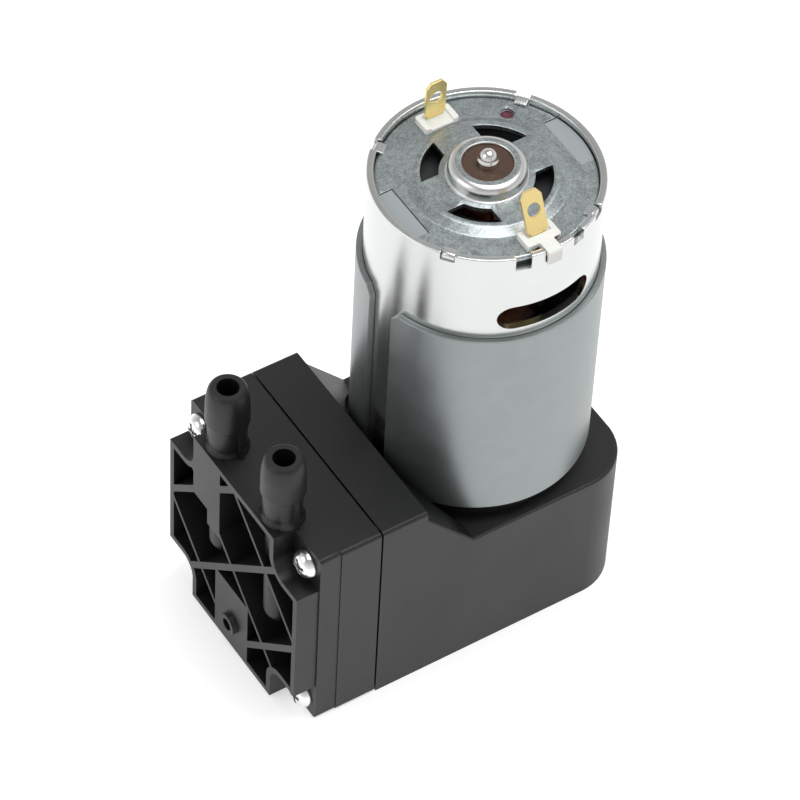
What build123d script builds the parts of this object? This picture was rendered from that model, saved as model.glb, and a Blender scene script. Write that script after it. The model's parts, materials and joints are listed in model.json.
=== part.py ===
"""Diaphragm suction pump: a can motor standing on a moulded crankcase, with a ribbed head in front.

Millimetres. The origin is on the motor axis, in the base plane. +Z is up and the head points to -X.
"""
import math
import os

from build123d import *

# Motor
can_diameter = 35.8
can_length = 57.0
can_wall = 1.1
can_edge_radius = 1.5
lip_height = 1.0            # rim of the can above the end plate
vent_length = 16.0
vent_height = 4.7
vent_below_rim = 12.75      # rim to the middle of the vent slots
ring_wall = 1.0
ring_above_face = 2.1       # mounting face to the lower edge of the flux ring
ring_below_rim = 16.8       # rim to the upper edge of the flux ring
ring_gap = 5.3
ring_gap_angle = 183.5      # the opening of the ring faces the head
ring_corner = 1.4
shaft_diameter = 3.175
front_boss_diameter = 13.0
front_boss_height = 4.5
bearing_length = 4.0
rear_bearing_length = 3.6
rear_bearing_radius = 3.9
crimp_angles = (38.5, 127.0, -142.0, -56.0)
crimp_width = 2.0
crimp_reach = 1.5
crimp_thickness = 0.7
lip_notches = ((-15, 2.8, 2.0), (16, 2.2, 1.0), (2, 3.4, 1.2))   # angle from the terminal, width, depth

# End plate
plate_thickness = 1.0
step_height = 0.8
step_inset = 5.9            # outside of the can to the foot of the raised centre
step_slope = 1.2
window_edge = 0.95          # arc windows to the edge of the raised centre
window_boss_gap = 1.0       # arc windows to the bearing boss
window_angle = 46.0
flat_window_inset = 4.5
flat_window_width = 10.2
dimple_inset = 4.25
dimple_angle = 44.0
dimple_radius = 1.1
rear_boss_diameter = 12.8
rear_boss_shoulder = 9.7
rear_boss_height = 3.3
rear_boss_opening = 8.2

# Terminals and brushes
terminal_width = 3.2
terminal_thickness = 0.5
terminal_height = 8.0       # above the end plate
terminal_inset = 3.9        # outside of the can to the blade
terminal_shift = -0.5       # the blades stand a little towards the head
terminal_hole = 1.7
terminal_hole_drop = 2.4
terminal_clip = 0.7
terminal_lean = 21.0        # the near blade is bent inwards
insulator_width = 6.2
insulator_depth = 4.0
insulator_height = 1.9
hook_width = 3.2
hook_height = 0.45
hook_drop = 2.6
hook_wall = 0.55
carrier_thickness = 2.4
carrier_width = 7.5
carrier_shelf = 1.2
post_radius = 0.8
post_x = -7.9
post_inset = 2.9            # terminal blade to the spring post
spring_thickness = 0.3
arm_below_rim = 13.4        # rim to the lower edge of brushes and springs
arm_height = 4.0
brush_width = 3.0
brush_inset = 5.45          # terminal blade to the back of the brush
commutator_radius = 3.9
commutator_flange = 0.9

# Rotor and magnets
core_radius = 11.4
core_above_face = 10.0
core_below_rim = 22.0
slot_count = 5
slot_radius = 2.6
slot_inset = 4.0
slot_mouth = 1.4
wire_radius = 2.4
turns_height = 4.4
air_gap = 0.5
magnet_angle = 132.0
magnet_overhang = 3.0
clip_thickness = 0.7

# Crankcase
body_width = 38.3
block_height = 38.65
block_thickness = 8.0
block_gap = 1.3             # flux ring to the back of the block
deck_above_axis = 7.575     # crank pin and diaphragm centre to the deck
pedestal_height = 1.5
pedestal_inset = 0.9
rear_reach = 19.7           # motor axis to the rear face
rear_corner = 8.8
ramp_rise = 10.0
ramp_run = 9.0
ramp_gap = 0.6              # slope to the flux ring
wall = 2.2
ceiling_thickness = 3.0
cover_thickness = 2.0
cover_lip = 1.5
cover_boss_radius = 2.8
edge_radius = 0.7
soft_edge = 0.4

# Head
seam = 0.3                  # open joint between crankcase and valve body
head_inset = 0.15
valve_body_thickness = 7.1
flange_thickness = 3.7
lattice_depth = 3.9
lattice_inset = 0.4
lattice_lift = 0.5          # the ribbed front sits a little higher than the flange
pocket_depth = 5.2
frame_wall = 1.1
rib_thick = 1.2
rib_thin = 0.7
rib_pitch = 13.25
notch_radius = 3.0
notch_clearance_y = 1.4
notch_clearance_z = 1.2
top_strip_drop = 0.25
screw_inset_y = 3.55
screw_inset_z = 3.35
far_plate_width = 7.8
far_plate_above_axis = 6.9
far_plate_step = 3.6
far_plate_step_height = 3.4
house_width = 9.7
house_top = 14.7
pip_height = 6.1
pip_diameter = 3.8
pip_hole = 2.2
pip_hole_depth = 3.2
pip_stand = 0.8

# Ports and hose barbs
port_spacing = 16.2
port_setback = 3.8          # front of the lattice to the barb axis
port_bore = 3.55
port_tube = 5.2
port_tube_drop = 4.75       # diaphragm centre to the round lower end of the port tubes
barb_height = 13.4          # above the flange
barb_diameter = 7.0
barb_neck = 6.1
barb_tip = 5.9
barb_foot = 7.1
barb_shoulder = 5.0         # flange to the underside of the swelling
barb_land_start = 7.4       # cylindrical stretch that grips the hose
barb_land = 1.8
web_thickness = 0.8
web_reach = 0.3

# Valves
valve_gap = 4.2             # wall between the two valve chambers
valve_margin = 1.6          # chamber wall to the edge of the valve disc
inlet_web = 1.6
inlet_pocket = 1.3
outlet_web = 0.9
outlet_pocket = 1.0
stem_radius = 0.85
stem_hole = 0.95
bulb_radius = 1.4
bulb_play = 0.1
flow_holes = 6
flow_hole_radius = 0.65
flow_circle = 2.9
seal_margin = 0.45
seal_width = 0.9
seal_thickness = 0.8

# Drive and diaphragm
crank_throw = 1.6
bearing_bore = 8.0
bearing_outside = 16.0
bearing_width = 5.0
ball_diameter = 2.0
ball_count = 9
race_wall = 1.1
rod_ring_wall = 2.3
rod_width = 7.0
rod_pocket_depth = 1.5
rod_pocket_edge = 1.2
rod_flange = 17.0
rod_flange_thickness = 1.5
rod_taper = 2.4
diaphragm_bore = 30.0
diaphragm_rim = 34.0
rim_depth = 1.4
bore_depth = 4.2            # clamped rim to the crank chamber
hub_thickness = 1.2
hub_offset = 0.65           # hub behind the rim at mid stroke
membrane = 0.8
roll_height = 1.6
piston_plate_diameter = 16.0
piston_plate_thickness = 1.6
top_clearance = 0.4         # piston plate to the dome at full stroke
dome_slope = 3.1
hub_diameter = 13.0
hub_height = 6.6
hub_gap = 0.65              # hub to the rod bearing
spigot_step = 0.9
weight_radius = 12.5
weight_height = 4.6
weight_lift = 1.0

# Screws
screw_m3 = 3.0
m3_head = 5.4
m3_head_height = 1.3
motor_screw_spacing = 25.0
motor_screw_bite = 0.6
cover_screw = 2.2
cover_screw_head = 4.4
cover_screw_length = 8.0
head_screw = 2.6
head_screw_head = 4.9
head_screw_head_height = 1.9
head_screw_length = 16.0
diaphragm_screw_bite = 6.0

# Fits
running = 0.03              # radial, shaft in its bearings
snug = 0.02                 # radial, parts that are pressed or glued together
light = 0.05                # parts laid against each other
loose = 0.15                # parts that drop in, screws in clearance and pilot holes
race_play = 0.04            # balls in their grooves

# Derived places
can_radius = can_diameter / 2
can_inner = can_radius - can_wall
shaft_radius = shaft_diameter / 2
ring_radius = can_radius + snug + ring_wall
axis_height = block_height / 2
deck_height = axis_height + deck_above_axis
ceiling = deck_height - ceiling_thickness
motor_face = deck_height + pedestal_height
rim_top = motor_face + can_length
plate_top = rim_top - lip_height
centre_top = plate_top + step_height
boss_top = centre_top + rear_boss_height
step_outer = can_radius - step_inset
step_inner = step_outer - step_slope
block_rear = -(ring_radius + block_gap)
block_front = block_rear - block_thickness
valve_rear = block_front - seam
parting = valve_rear - valve_body_thickness
flange_front = parting - flange_thickness
lattice_front = flange_front - lattice_depth
port_x = lattice_front + port_setback
head_width = body_width - 2 * head_inset
head_height = block_height + light
lattice_width = body_width - 2 * lattice_inset
lattice_height = head_height
lattice_centre = axis_height + lattice_lift
lattice_top = lattice_centre + lattice_height / 2
screw_y = body_width / 2 - screw_inset_y
screw_z = axis_height - screw_inset_z
notch_width = lattice_width / 2 - screw_y + head_screw_head / 2 + notch_clearance_y
notch_height = lattice_top - axis_height - screw_z + head_screw_head / 2 + notch_clearance_z
port_tube_bottom = axis_height - port_tube_drop
valve_chamber = port_spacing - valve_gap
valve_disc = valve_chamber - 2 * valve_margin
seal_inner = valve_chamber / 2 + seal_margin
seal_outer = seal_inner + seal_width
rim_mid = (valve_rear + block_front + rim_depth) / 2
hub_mid = rim_mid + hub_offset + crank_throw      # at rest the crank has drawn the diaphragm back
hub_front = hub_mid - hub_thickness / 2
hub_rear = hub_mid + hub_thickness / 2
piston_front = hub_front - piston_plate_thickness
dome_floor = piston_front - 2 * crank_throw - top_clearance
cavity_front = block_front + rim_depth + bore_depth
bearing_low = axis_height - bearing_width / 2
bearing_high = axis_height + bearing_width / 2
ball_path = (bearing_bore + bearing_outside) / 4
hub_top = bearing_low - hub_gap
hub_low = hub_top - hub_height
set_screw_height = hub_low + hub_height / 2
shaft_low = hub_low + 0.8
shaft_high = boss_top + 1.5
core_low = motor_face + core_above_face
core_high = rim_top - core_below_rim
carrier_top = plate_top - plate_thickness
carrier_low = carrier_top - carrier_thickness
arm_low = rim_top - arm_below_rim
arm_high = arm_low + arm_height
terminal_offset = can_radius - terminal_inset
brush_back = terminal_offset - brush_inset
commutator_low = core_high + turns_height + 2.0
commutator_high = carrier_low - 0.6

os.makedirs("parts", exist_ok=True)


def save(name, *solids):
    """Write one sub-part; like pieces share a file as separate solids."""
    shape = solids[0] if len(solids) == 1 else Compound(list(solids))
    export_step(shape, f"parts/{name}.step")


def outline(points):
    """A closed flat face through the given points."""
    return make_face(Polyline(*points, close=True))


def turned(points):
    """A solid turned about the motor axis from (radius, height) points."""
    return revolve(Plane.XZ * outline(points), Axis.Z)


def turned_on_head(points):
    """A solid turned about the axis of the head, from (x, radius) points."""
    lifted = [(x, radius + axis_height) for x, radius in points]
    return revolve(Plane.XZ * outline(lifted), Axis((0, 0, axis_height), (1, 0, 0)))


def disc(radius, low, high, x=0.0, y=0.0):
    """An upright cylinder between two heights."""
    return Pos(x, y, low) * extrude(Circle(radius), high - low)


def ring(outer, inner, low, high, x=0.0):
    """An upright ring between two heights."""
    return Pos(x, 0, low) * extrude(Circle(outer) - Circle(inner), high - low)


def sector(outer, inner, span):
    """A flat piece of a ring centred on +X; the span is in degrees and below 180."""
    rise = outer * math.tan(math.radians(span / 2))
    return (Circle(outer) - Circle(inner)) & outline([(0, 0), (outer, -rise), (outer, rise)])


def across(x, height=axis_height):
    """A plane across the pump at x: its first direction is +Y and its second is up."""
    return Plane(origin=(x, 0, height), x_dir=(0, 1, 0), z_dir=(1, 0, 0))


def bored(radius, start, end, y, z):
    """A cylinder along X between two places."""
    return across(start, 0) * Pos(y, z) * extrude(Circle(radius), end - start)


def block(x_range, y_range, z_range):
    """A box given by its limits along each axis."""
    size = [high - low for low, high in (x_range, y_range, z_range)]
    middle = [(low + high) / 2 for low, high in (x_range, y_range, z_range)]
    return Pos(*middle) * Box(*size)


def about(middle, half):
    """Limits on both sides of a middle."""
    return (middle - half, middle + half)


def section(width, height, corner):
    """Upright rectangle across the pump, standing on the base plane, with round corners."""
    return Pos(0, height / 2) * RectangleRounded(width, height, corner)


def plan(inset, front):
    """Plan of the crankcase: square in front, round corners behind."""
    back = rear_reach - inset
    shape = Pos((front + back) / 2, 0) * Rectangle(back - front, body_width - 2 * inset)
    return fillet(shape.vertices().group_by(Axis.X)[-1], rear_corner - inset)


def head_screw_places():
    """Centres of the four head screws, as (y, z)."""
    return [(side * screw_y, axis_height + level * screw_z) for side in (-1, 1) for level in (-1, 1)]


def cover_screw_places():
    """Centres of the four bottom cover screws, as (x, y), each in its boss against the walls."""
    rear_shift = rear_corner - (rear_corner - wall) * 0.55
    rear = (rear_reach - rear_shift, body_width / 2 - rear_shift)
    front = (cavity_front + cover_boss_radius + 0.2, body_width / 2 - wall - cover_boss_radius - 0.2)
    return [(x, side * y) for x, y in (rear, front) for side in (-1, 1)]


def cross_recess(span, width, depth):
    """A cross cut upwards from height 0."""
    bar = Pos(0, 0, depth / 2) * Box(span, width, depth)
    return bar + Rot(0, 0, 90) * bar


def countersunk(diameter, head, head_height, length):
    """A countersunk screw that points up, with its head face at height 0."""
    radius = diameter / 2
    screw = turned([(0, 0), (head / 2, 0), (radius, head_height), (radius, length - radius * 0.6),
                    (radius * 0.5, length), (0, length)])
    return screw - cross_recess(head * 0.55, 0.45, 0.9)


def countersunk_hole(diameter, head, head_height, length):
    """The hole for such a screw, with clearance all round."""
    radius = diameter / 2 + loose
    return turned([(0, 0), (head / 2 + loose, 0), (radius, head_height + light), (radius, length),
                   (0, length)])


def crankcase_shell():
    """Outer form: upright block, flat deck, sloped shoulders cut round for the motor, motor seat."""
    deck = extrude(plan(0, block_front), deck_height)
    top_edges = deck.edges().filter_by_position(Axis.Z, deck_height, deck_height)
    deck = fillet([e for e in top_edges if e.center().X > block_rear + ramp_run], soft_edge)
    face = Pos(0, block_height / 2) * Rectangle(body_width, block_height)
    face = fillet(face.vertices().group_by(Axis.Y)[-1], edge_radius)
    upright = across(block_front, 0) * extrude(face, block_thickness)
    slope = outline([(block_rear, deck_height - wall), (block_rear, deck_height + ramp_rise),
                     (block_rear + ramp_run, deck_height), (block_rear + ramp_run, deck_height - wall)])
    ramp = extrude(Plane.XZ * slope, body_width / 2, both=True)
    middle = deck_height + ramp_rise / 2
    ramp = fillet(ramp.edges().filter_by_position(Axis.Z, *about(middle, 0.01)), soft_edge)
    ramp -= disc(ring_radius + ramp_gap, deck_height, rim_top)
    return deck + upright + ramp + disc(can_radius - pedestal_inset, ceiling, motor_face)


def make_pump_body():
    """Crankcase: one moulding with the crank chamber, the diaphragm seat and the motor seat."""
    body = crankcase_shell()
    chamber = extrude(plan(wall, cavity_front), ceiling)
    for x, y in cover_screw_places():
        chamber -= disc(cover_boss_radius, cover_thickness, ceiling, x, y)
    rebate = extrude(plan(cover_lip, cavity_front - wall + cover_lip), cover_thickness)
    body -= chamber + rebate
    body -= bored(diaphragm_bore / 2, block_front, cavity_front, 0, axis_height)
    body -= bored(diaphragm_rim / 2, block_front, block_front + rim_depth, 0, axis_height)
    body -= disc(front_boss_diameter / 2 + loose, ceiling, rim_top)
    for side in (-1, 1):
        hole = countersunk_hole(screw_m3, m3_head, m3_head_height, motor_face - ceiling)
        body -= Pos(0, side * motor_screw_spacing / 2, ceiling) * hole
    for x, y in cover_screw_places():
        body -= disc(cover_screw / 2 + loose, cover_thickness, cover_screw_length + 1, x, y)
    for y, z in head_screw_places():
        body -= bored(head_screw / 2 + loose, block_front, flange_front + head_screw_length + 0.5, y, z)
    return body


def make_bottom_cover():
    """Flat cover let into the base, with four countersunk holes and a stiffening ring."""
    inset = cover_lip + loose
    plate = extrude(plan(inset, cavity_front - wall + inset), cover_thickness)
    plate += ring(weight_radius - 0.5, weight_radius - 1.7, cover_thickness, cover_thickness + 1.0)
    for x, y in cover_screw_places():
        plate -= Pos(x, y, 0) * countersunk_hole(cover_screw, cover_screw_head, 1.15, cover_thickness)
    return plate


def make_cover_screws():
    screw = countersunk(cover_screw, cover_screw_head, 1.15, cover_screw_length)
    return [Pos(x, y, light) * screw for x, y in cover_screw_places()]


def make_motor_screws():
    length = motor_face - ceiling + can_wall + motor_screw_bite
    screw = countersunk(screw_m3, m3_head, m3_head_height, length)
    return [Pos(0, side * motor_screw_spacing / 2, ceiling + light) * screw for side in (-1, 1)]


def make_head_screws():
    """Pan head tapping screws along X, with cross recesses."""
    head, edge, shank = head_screw_head_height, head_screw_head / 2, head_screw / 2
    profile = outline([(-head, 0), (-head, edge * 0.5), (-head * 0.72, edge * 0.84), (-head * 0.3, edge),
                       (0, edge), (0, shank), (head_screw_length - 1.4, shank),
                       (head_screw_length, shank * 0.4), (head_screw_length, 0)])
    screw = revolve(Plane.XZ * profile, Axis.X)
    screw -= Pos(-head, 0, 0) * Rot(0, 90, 0) * cross_recess(edge * 1.2, 0.6, 1.1)
    return [Pos(flange_front, y, z) * screw for y, z in head_screw_places()]


def lattice_frame():
    """Outline of the ribbed front with its four screw notches, about the lattice centre."""
    frame = Rectangle(lattice_width, lattice_height)
    size = (notch_width + 2 * notch_radius, notch_height + 2 * notch_radius)
    for side in (-1, 1):
        for level in (-1, 1):
            y = side * (lattice_width / 2 + notch_radius - notch_width / 2)
            z = level * (lattice_height / 2 + notch_radius - notch_height / 2)
            frame -= Pos(y, z) * RectangleRounded(*size, notch_radius)
    return frame


def lattice_ribs():
    """Diagonal ribs both ways and the three solid pads between them, about the lattice centre."""
    length = lattice_width * 1.5
    ribs = []
    for step in (-1, 0, 1):
        ribs.append(Rot(0, 0, -45) * Pos(0, step * rib_pitch) * Rectangle(length, rib_thick))
        ribs.append(Rot(0, 0, 45) * Pos(0, step * rib_pitch) * Rectangle(length, rib_thin))
    top = lattice_height / 2
    low = axis_height + far_plate_above_axis - lattice_centre
    plate_near = port_spacing / 2 - 0.3 - far_plate_width / 2
    ribs.append(Pos(plate_near + far_plate_width / 2, (top + low) / 2) * Rectangle(far_plate_width, top - low))
    ribs.append(Pos(plate_near + far_plate_step / 2, low - far_plate_step_height / 2 + light)
                * Rectangle(far_plate_step, far_plate_step_height))
    base, roof = -top, house_top - lattice_centre
    ribs.append(Pos(0, (base + roof) / 2) * Rectangle(house_width, roof - base))
    return ribs


def barb_profile():
    """Half section of a hose barb in (radius, height above the flange)."""
    neck, foot = barb_neck / 2, barb_foot / 2
    bulge, tip = barb_diameter / 2, barb_tip / 2
    land_end = barb_land_start + barb_land
    stem = Polyline((0, -1.0), (foot, -1.0), (foot, 0.3), (neck, 1.5), (neck, barb_shoulder - 0.3),
                    (bulge - 0.2, barb_shoulder))
    swelling = Spline((bulge - 0.2, barb_shoulder), (bulge, barb_land_start),
                      tangents=[(0.35, 1), (0, 1)])
    grip = Line((bulge, barb_land_start), (bulge, land_end))
    nose = TangentArc((bulge, land_end), (tip, barb_height - 0.3), tangent=(0, 1))
    end = Polyline((tip, barb_height - 0.3), (tip - 0.3, barb_height), (0, barb_height), (0, -1.0))
    return make_face(stem + swelling + grip + nose + end)


def make_barb():
    """Hose barb standing on height 0, with a thin web at each side of its neck."""
    barb = revolve(Plane.XZ * barb_profile(), Axis.Z)
    neck, reach = barb_neck / 2, barb_foot / 2 + web_reach
    web = outline([(-reach, -0.2), (-reach, 0.2), (-neck, barb_shoulder), (neck, barb_shoulder),
                   (reach, 0.2), (reach, -0.2)])
    return barb + Plane.YZ * extrude(web, web_thickness)


def make_head_cover():
    """Ribbed front cover with both port tubes and hose barbs, four screw notches and a drilled pip."""
    cover = across(flange_front, 0) * extrude(section(head_width, head_height, edge_radius),
                                              flange_thickness)
    frame = lattice_frame()
    pockets = offset(frame, -frame_wall, kind=Kind.INTERSECTION) - lattice_ribs()
    front = across(lattice_front, lattice_centre)
    cover += front * extrude(frame, lattice_depth)
    cover -= front * extrude(pockets, pocket_depth)
    cover -= block((lattice_front + frame_wall, flange_front), about(0, lattice_width),
                   (lattice_top - top_strip_drop, lattice_top + 1))
    barb = make_barb()
    tube_radius = port_tube / 2
    for side in (-1, 1):
        y = side * port_spacing / 2
        cover += disc(tube_radius, port_tube_bottom + tube_radius, head_height - 0.5, port_x, y)
        cover += Pos(port_x, y, port_tube_bottom + tube_radius) * Sphere(tube_radius)
        cover += Pos(port_x, y, head_height) * barb
        cover -= disc(port_bore / 2, axis_height, head_height + barb_height, port_x, y)
        cover -= bored(port_bore / 2, port_x, parting, y, axis_height)
    cover += bored(pip_diameter / 2, lattice_front - pip_stand, lattice_front, 0, pip_height)
    cover -= bored(pip_hole / 2, lattice_front - pip_stand, lattice_front + pip_hole_depth, 0, pip_height)
    for y, z in head_screw_places():
        cover -= bored(head_screw / 2 + loose, flange_front, parting, y, z)
    return cover


def make_valve_body():
    """Middle plate of the head: valve chambers in front, shallow pumping dome behind."""
    body = across(parting, 0) * extrude(section(body_width, block_height, edge_radius),
                                        valve_body_thickness)
    mouth = diaphragm_bore / 2 - 0.5
    body -= turned_on_head([(valve_rear, 0), (valve_rear, mouth), (dome_floor, mouth - dome_slope),
                            (dome_floor, 0)])
    inlet_seat = dome_floor - inlet_pocket - inlet_web
    outlet_seat = dome_floor - outlet_pocket - outlet_web
    groove = Circle(seal_outer + light) - Circle(seal_inner - light)
    flow = Sketch() + PolarLocations(flow_circle, flow_holes) * Circle(flow_hole_radius)
    for side, seat in ((1, inlet_seat), (-1, outlet_seat)):
        y = side * port_spacing / 2
        body -= bored(valve_chamber / 2, parting, seat, y, axis_height)
        body -= across(parting) * Pos(y, 0) * extrude(groove, seal_thickness)
        body -= bored(stem_hole, seat, dome_floor, y, axis_height)
        body -= across(seat) * Pos(y, 0) * extrude(flow, dome_floor - seat)
    y = port_spacing / 2
    body -= bored(valve_disc / 2 + 0.5, dome_floor - inlet_pocket, valve_rear, y, axis_height)
    body -= bored(bulb_radius + 0.5, dome_floor - outlet_pocket, dome_floor, -y, axis_height)
    for y, z in head_screw_places():
        body -= bored(head_screw / 2 + loose, parting, valve_rear, y, z)
    return body


def umbrella(web, bulb_length):
    """Umbrella valve along X: disc towards -X, stem through a web of the given thickness."""
    rim = valve_disc / 2
    cap = outline([(0, 0), (0, rim), (-0.4, rim), (-1.0, 1.6), (-1.0, 0)])
    far = web + bulb_play
    stem = outline([(0, 0), (0, stem_radius), (far, stem_radius), (far, bulb_radius),
                    (far + bulb_length, bulb_radius * 0.6), (far + bulb_length, 0)])
    return revolve(Plane.XZ * (cap + stem), Axis.X)


def make_outlet_valve():
    seat = dome_floor - outlet_pocket - outlet_web
    return Pos(seat, -port_spacing / 2, axis_height) * umbrella(outlet_web, 0.7)


def make_inlet_valve():
    valve = Rot(0, 0, 180) * umbrella(inlet_web, 1.0)
    return Pos(dome_floor - inlet_pocket, port_spacing / 2, axis_height) * valve


def make_port_seals():
    flat = extrude(Circle(seal_outer) - Circle(seal_inner), seal_thickness)
    return [across(parting) * Pos(side * port_spacing / 2, 0) * flat for side in (-1, 1)]


def make_diaphragm():
    """Rubber diaphragm: clamped rim, one rolled fold, thick hub with a hole for the screw."""
    rim_in = diaphragm_bore / 2
    rim_out = diaphragm_rim / 2 - light
    rim_rear = block_front + rim_depth
    hub_edge = rod_flange / 2 + 0.6
    hole = screw_m3 / 2 + light
    half = membrane / 2
    roll_mid = (hub_edge + rim_in) / 2
    roll_top = hub_mid + roll_height
    front_skin = Spline((rim_mid - half, rim_in - 0.4), (roll_top - half, roll_mid),
                        (hub_mid - half, hub_edge), tangents=[(0, -1), (0, -1)])
    rear_skin = Spline((hub_mid + half, hub_edge - 0.2), (roll_top + half, roll_mid),
                       (rim_mid + half, rim_in - 0.2), tangents=[(0, 1), (0, 1)])
    hub = Polyline(front_skin @ 1, (hub_front, hub_edge - 0.4), (hub_front, hole), (hub_rear, hole),
                   (hub_rear, hub_edge - 0.6), rear_skin @ 0)
    rim = Polyline(rear_skin @ 1, (rim_rear, rim_in), (rim_rear, rim_out), (valve_rear, rim_out),
                   (valve_rear, rim_in - 0.4), front_skin @ 0)
    face = make_face(front_skin + hub + rear_skin + rim)
    return revolve(Plane.XZ * Pos(0, axis_height) * face, Axis((0, 0, axis_height), (1, 0, 0)))


def make_piston_plate():
    """Metal plate that clamps the diaphragm hub to the rod, dished for a countersunk screw."""
    radius, hole = piston_plate_diameter / 2, screw_m3 / 2 + light
    return turned_on_head([(piston_front, m3_head / 2 + 0.25), (piston_front, radius - 0.5),
                           (piston_front + 0.5, radius), (hub_front, radius), (hub_front, hole),
                           (piston_front + m3_head_height + 0.1, hole)])


def make_diaphragm_screw():
    length = piston_plate_thickness + hub_thickness + diaphragm_screw_bite
    screw = countersunk(screw_m3, m3_head, m3_head_height, length)
    return Pos(piston_front + light, 0, axis_height) * Rot(0, 90, 0) * screw


def make_connecting_rod():
    """Rod with a big end for the bearing, a recessed shank and a flange behind the diaphragm."""
    inner = bearing_outside / 2 + snug
    outer = inner + rod_ring_wall
    flange_rear = hub_rear + rod_flange_thickness
    shank = block((flange_rear - 0.5, crank_throw), about(0, rod_width / 2), (bearing_low, bearing_high))
    rod = disc(outer, bearing_low, bearing_high, crank_throw) + shank
    rod += bored(rod_flange / 2, hub_rear, flange_rear, 0, axis_height)
    rod += turned_on_head([(flange_rear - 0.1, 0), (flange_rear - 0.1, rod_width / 2 + 1.6),
                           (flange_rear + rod_taper, bearing_width / 2 - 0.2),
                           (flange_rear + rod_taper, 0)])
    pocket_start = flange_rear + rod_taper + rod_pocket_edge
    pocket_end = crank_throw - outer - rod_pocket_edge
    pocket = RectangleRounded(pocket_end - pocket_start, rod_width - 2 * rod_pocket_edge, 1.0)
    pocket = Pos((pocket_start + pocket_end) / 2, 0) * pocket
    for level in (bearing_low, bearing_high - rod_pocket_depth):
        rod -= Pos(0, 0, level) * extrude(pocket, rod_pocket_depth)
    rod -= disc(inner, bearing_low, bearing_high, crank_throw)
    rod -= bored(screw_m3 / 2 + light, hub_rear, hub_rear + diaphragm_screw_bite + 0.3, 0, axis_height)
    return rod


def bearing_ring(outer, inner):
    """One ring of the rod bearing with its ball groove."""
    groove = Torus(ball_path, ball_diameter / 2 + race_play)
    return ring(outer, inner, bearing_low, bearing_high, crank_throw) - Pos(crank_throw, 0, axis_height) * groove


def make_bearing_balls():
    places = Pos(crank_throw, 0, axis_height) * PolarLocations(ball_path, ball_count)
    return [place * Sphere(ball_diameter / 2) for place in places]


def make_shaft():
    edge = 0.4
    return turned([(0, shaft_low), (shaft_radius - edge, shaft_low), (shaft_radius, shaft_low + edge),
                   (shaft_radius, shaft_high - 1.0), (shaft_radius * 0.45, shaft_high), (0, shaft_high)])


def make_eccentric():
    """Hub on the shaft with an offset spigot that carries the rod bearing."""
    spigot = bearing_bore / 2
    body = disc(hub_diameter / 2, hub_low, hub_top)
    body += disc(spigot + spigot_step, hub_top - 0.1, bearing_low, crank_throw)
    body += disc(spigot - snug, bearing_low - 0.1, bearing_high, crank_throw)
    body -= disc(shaft_radius + snug, hub_low, bearing_high)
    body -= bored(screw_m3 / 2, 0, hub_diameter, 0, set_screw_height)
    return body


def make_set_screw():
    """Headless screw in the side of the hub, with a hexagon socket."""
    end = hub_diameter / 2 - 0.3
    screw = bored(screw_m3 / 2 - snug, shaft_radius + snug, end, 0, set_screw_height)
    socket_depth = 1.4
    socket = across(end - socket_depth, set_screw_height)
    return screw - socket * extrude(RegularPolygon(0.85, 6), socket_depth)


def make_counterweight():
    """Half moon on the hub, opposite the offset spigot."""
    low = hub_low + weight_lift
    high = low + weight_height
    moon = ring(weight_radius, hub_diameter / 2 + snug, low, high)
    return moon - block((-1.0, 2 * weight_radius), about(0, 2 * weight_radius), (low, high))


def lip_cut(angle, width, depth):
    """A notch cut down into the rim of the can at an angle."""
    cut = block(about(can_radius, 3), about(0, width / 2), (rim_top - depth, rim_top + 1))
    return Rot(0, 0, angle) * cut


def crimp_tab(angle):
    """Tongue of the can wall bent in over the end plate."""
    half = crimp_width / 2
    level = plate_top + light
    tab = block((can_inner - crimp_reach, can_radius - 0.2), about(0, half), (level, level + crimp_thickness))
    root = block((can_inner, can_radius - 0.2), about(0, half), (plate_top - 1.2, level + crimp_thickness))
    return Rot(0, 0, angle) * (tab + root)


def make_motor_can():
    """Drawn steel can: bearing boss below, two vent slots, crimped and notched rim."""
    boss = front_boss_diameter / 2
    low = motor_face - front_boss_height
    mouth = boss - 2.5
    can = turned([(mouth, low), (boss, low), (boss, motor_face), (can_radius, motor_face),
                  (can_radius, rim_top), (can_inner, rim_top), (can_inner, motor_face + can_wall),
                  (boss - can_wall, motor_face + can_wall), (boss - can_wall, low + can_wall),
                  (mouth, low + can_wall)])
    circles = can.edges().filter_by(GeomType.CIRCLE).filter_by_position(Axis.Z, *about(motor_face, 0.01))
    can = fillet([e for e in circles if abs(e.radius - can_radius) < 0.01], can_edge_radius)
    slot = Plane.XZ * Pos(0, rim_top - vent_below_rim) * SlotOverall(vent_length, vent_height)
    can -= extrude(slot, can_diameter, both=True)
    for side in (-1, 1):
        y = side * motor_screw_spacing / 2
        can -= disc(screw_m3 / 2 + snug, motor_face - 1, motor_face + can_wall + 1, 0, y)
        for angle, width, depth in lip_notches:
            can -= lip_cut(side * 90 + angle, width, lip_height + depth)
    for angle in crimp_angles:
        can -= lip_cut(angle, crimp_width + 0.7, lip_height + 0.9)
        can += crimp_tab(angle)
    return can


def make_flux_ring():
    """Steel ring wrapped round the can, open towards the head, with clipped corners."""
    low, high = motor_face + ring_above_face, rim_top - ring_below_rim
    half, clip = ring_gap / 2, ring_gap / 2 + ring_corner
    slit = outline([(clip, low), (half, low + ring_corner), (half, high - ring_corner), (clip, high),
                    (-clip, high), (-half, high - ring_corner), (-half, low + ring_corner), (-clip, low)])
    cutter = across(-2 * ring_radius, 0) * extrude(slit, 2 * ring_radius)
    return ring(ring_radius, can_radius + snug, low, high) - Rot(0, 0, ring_gap_angle - 180) * cutter


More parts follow.
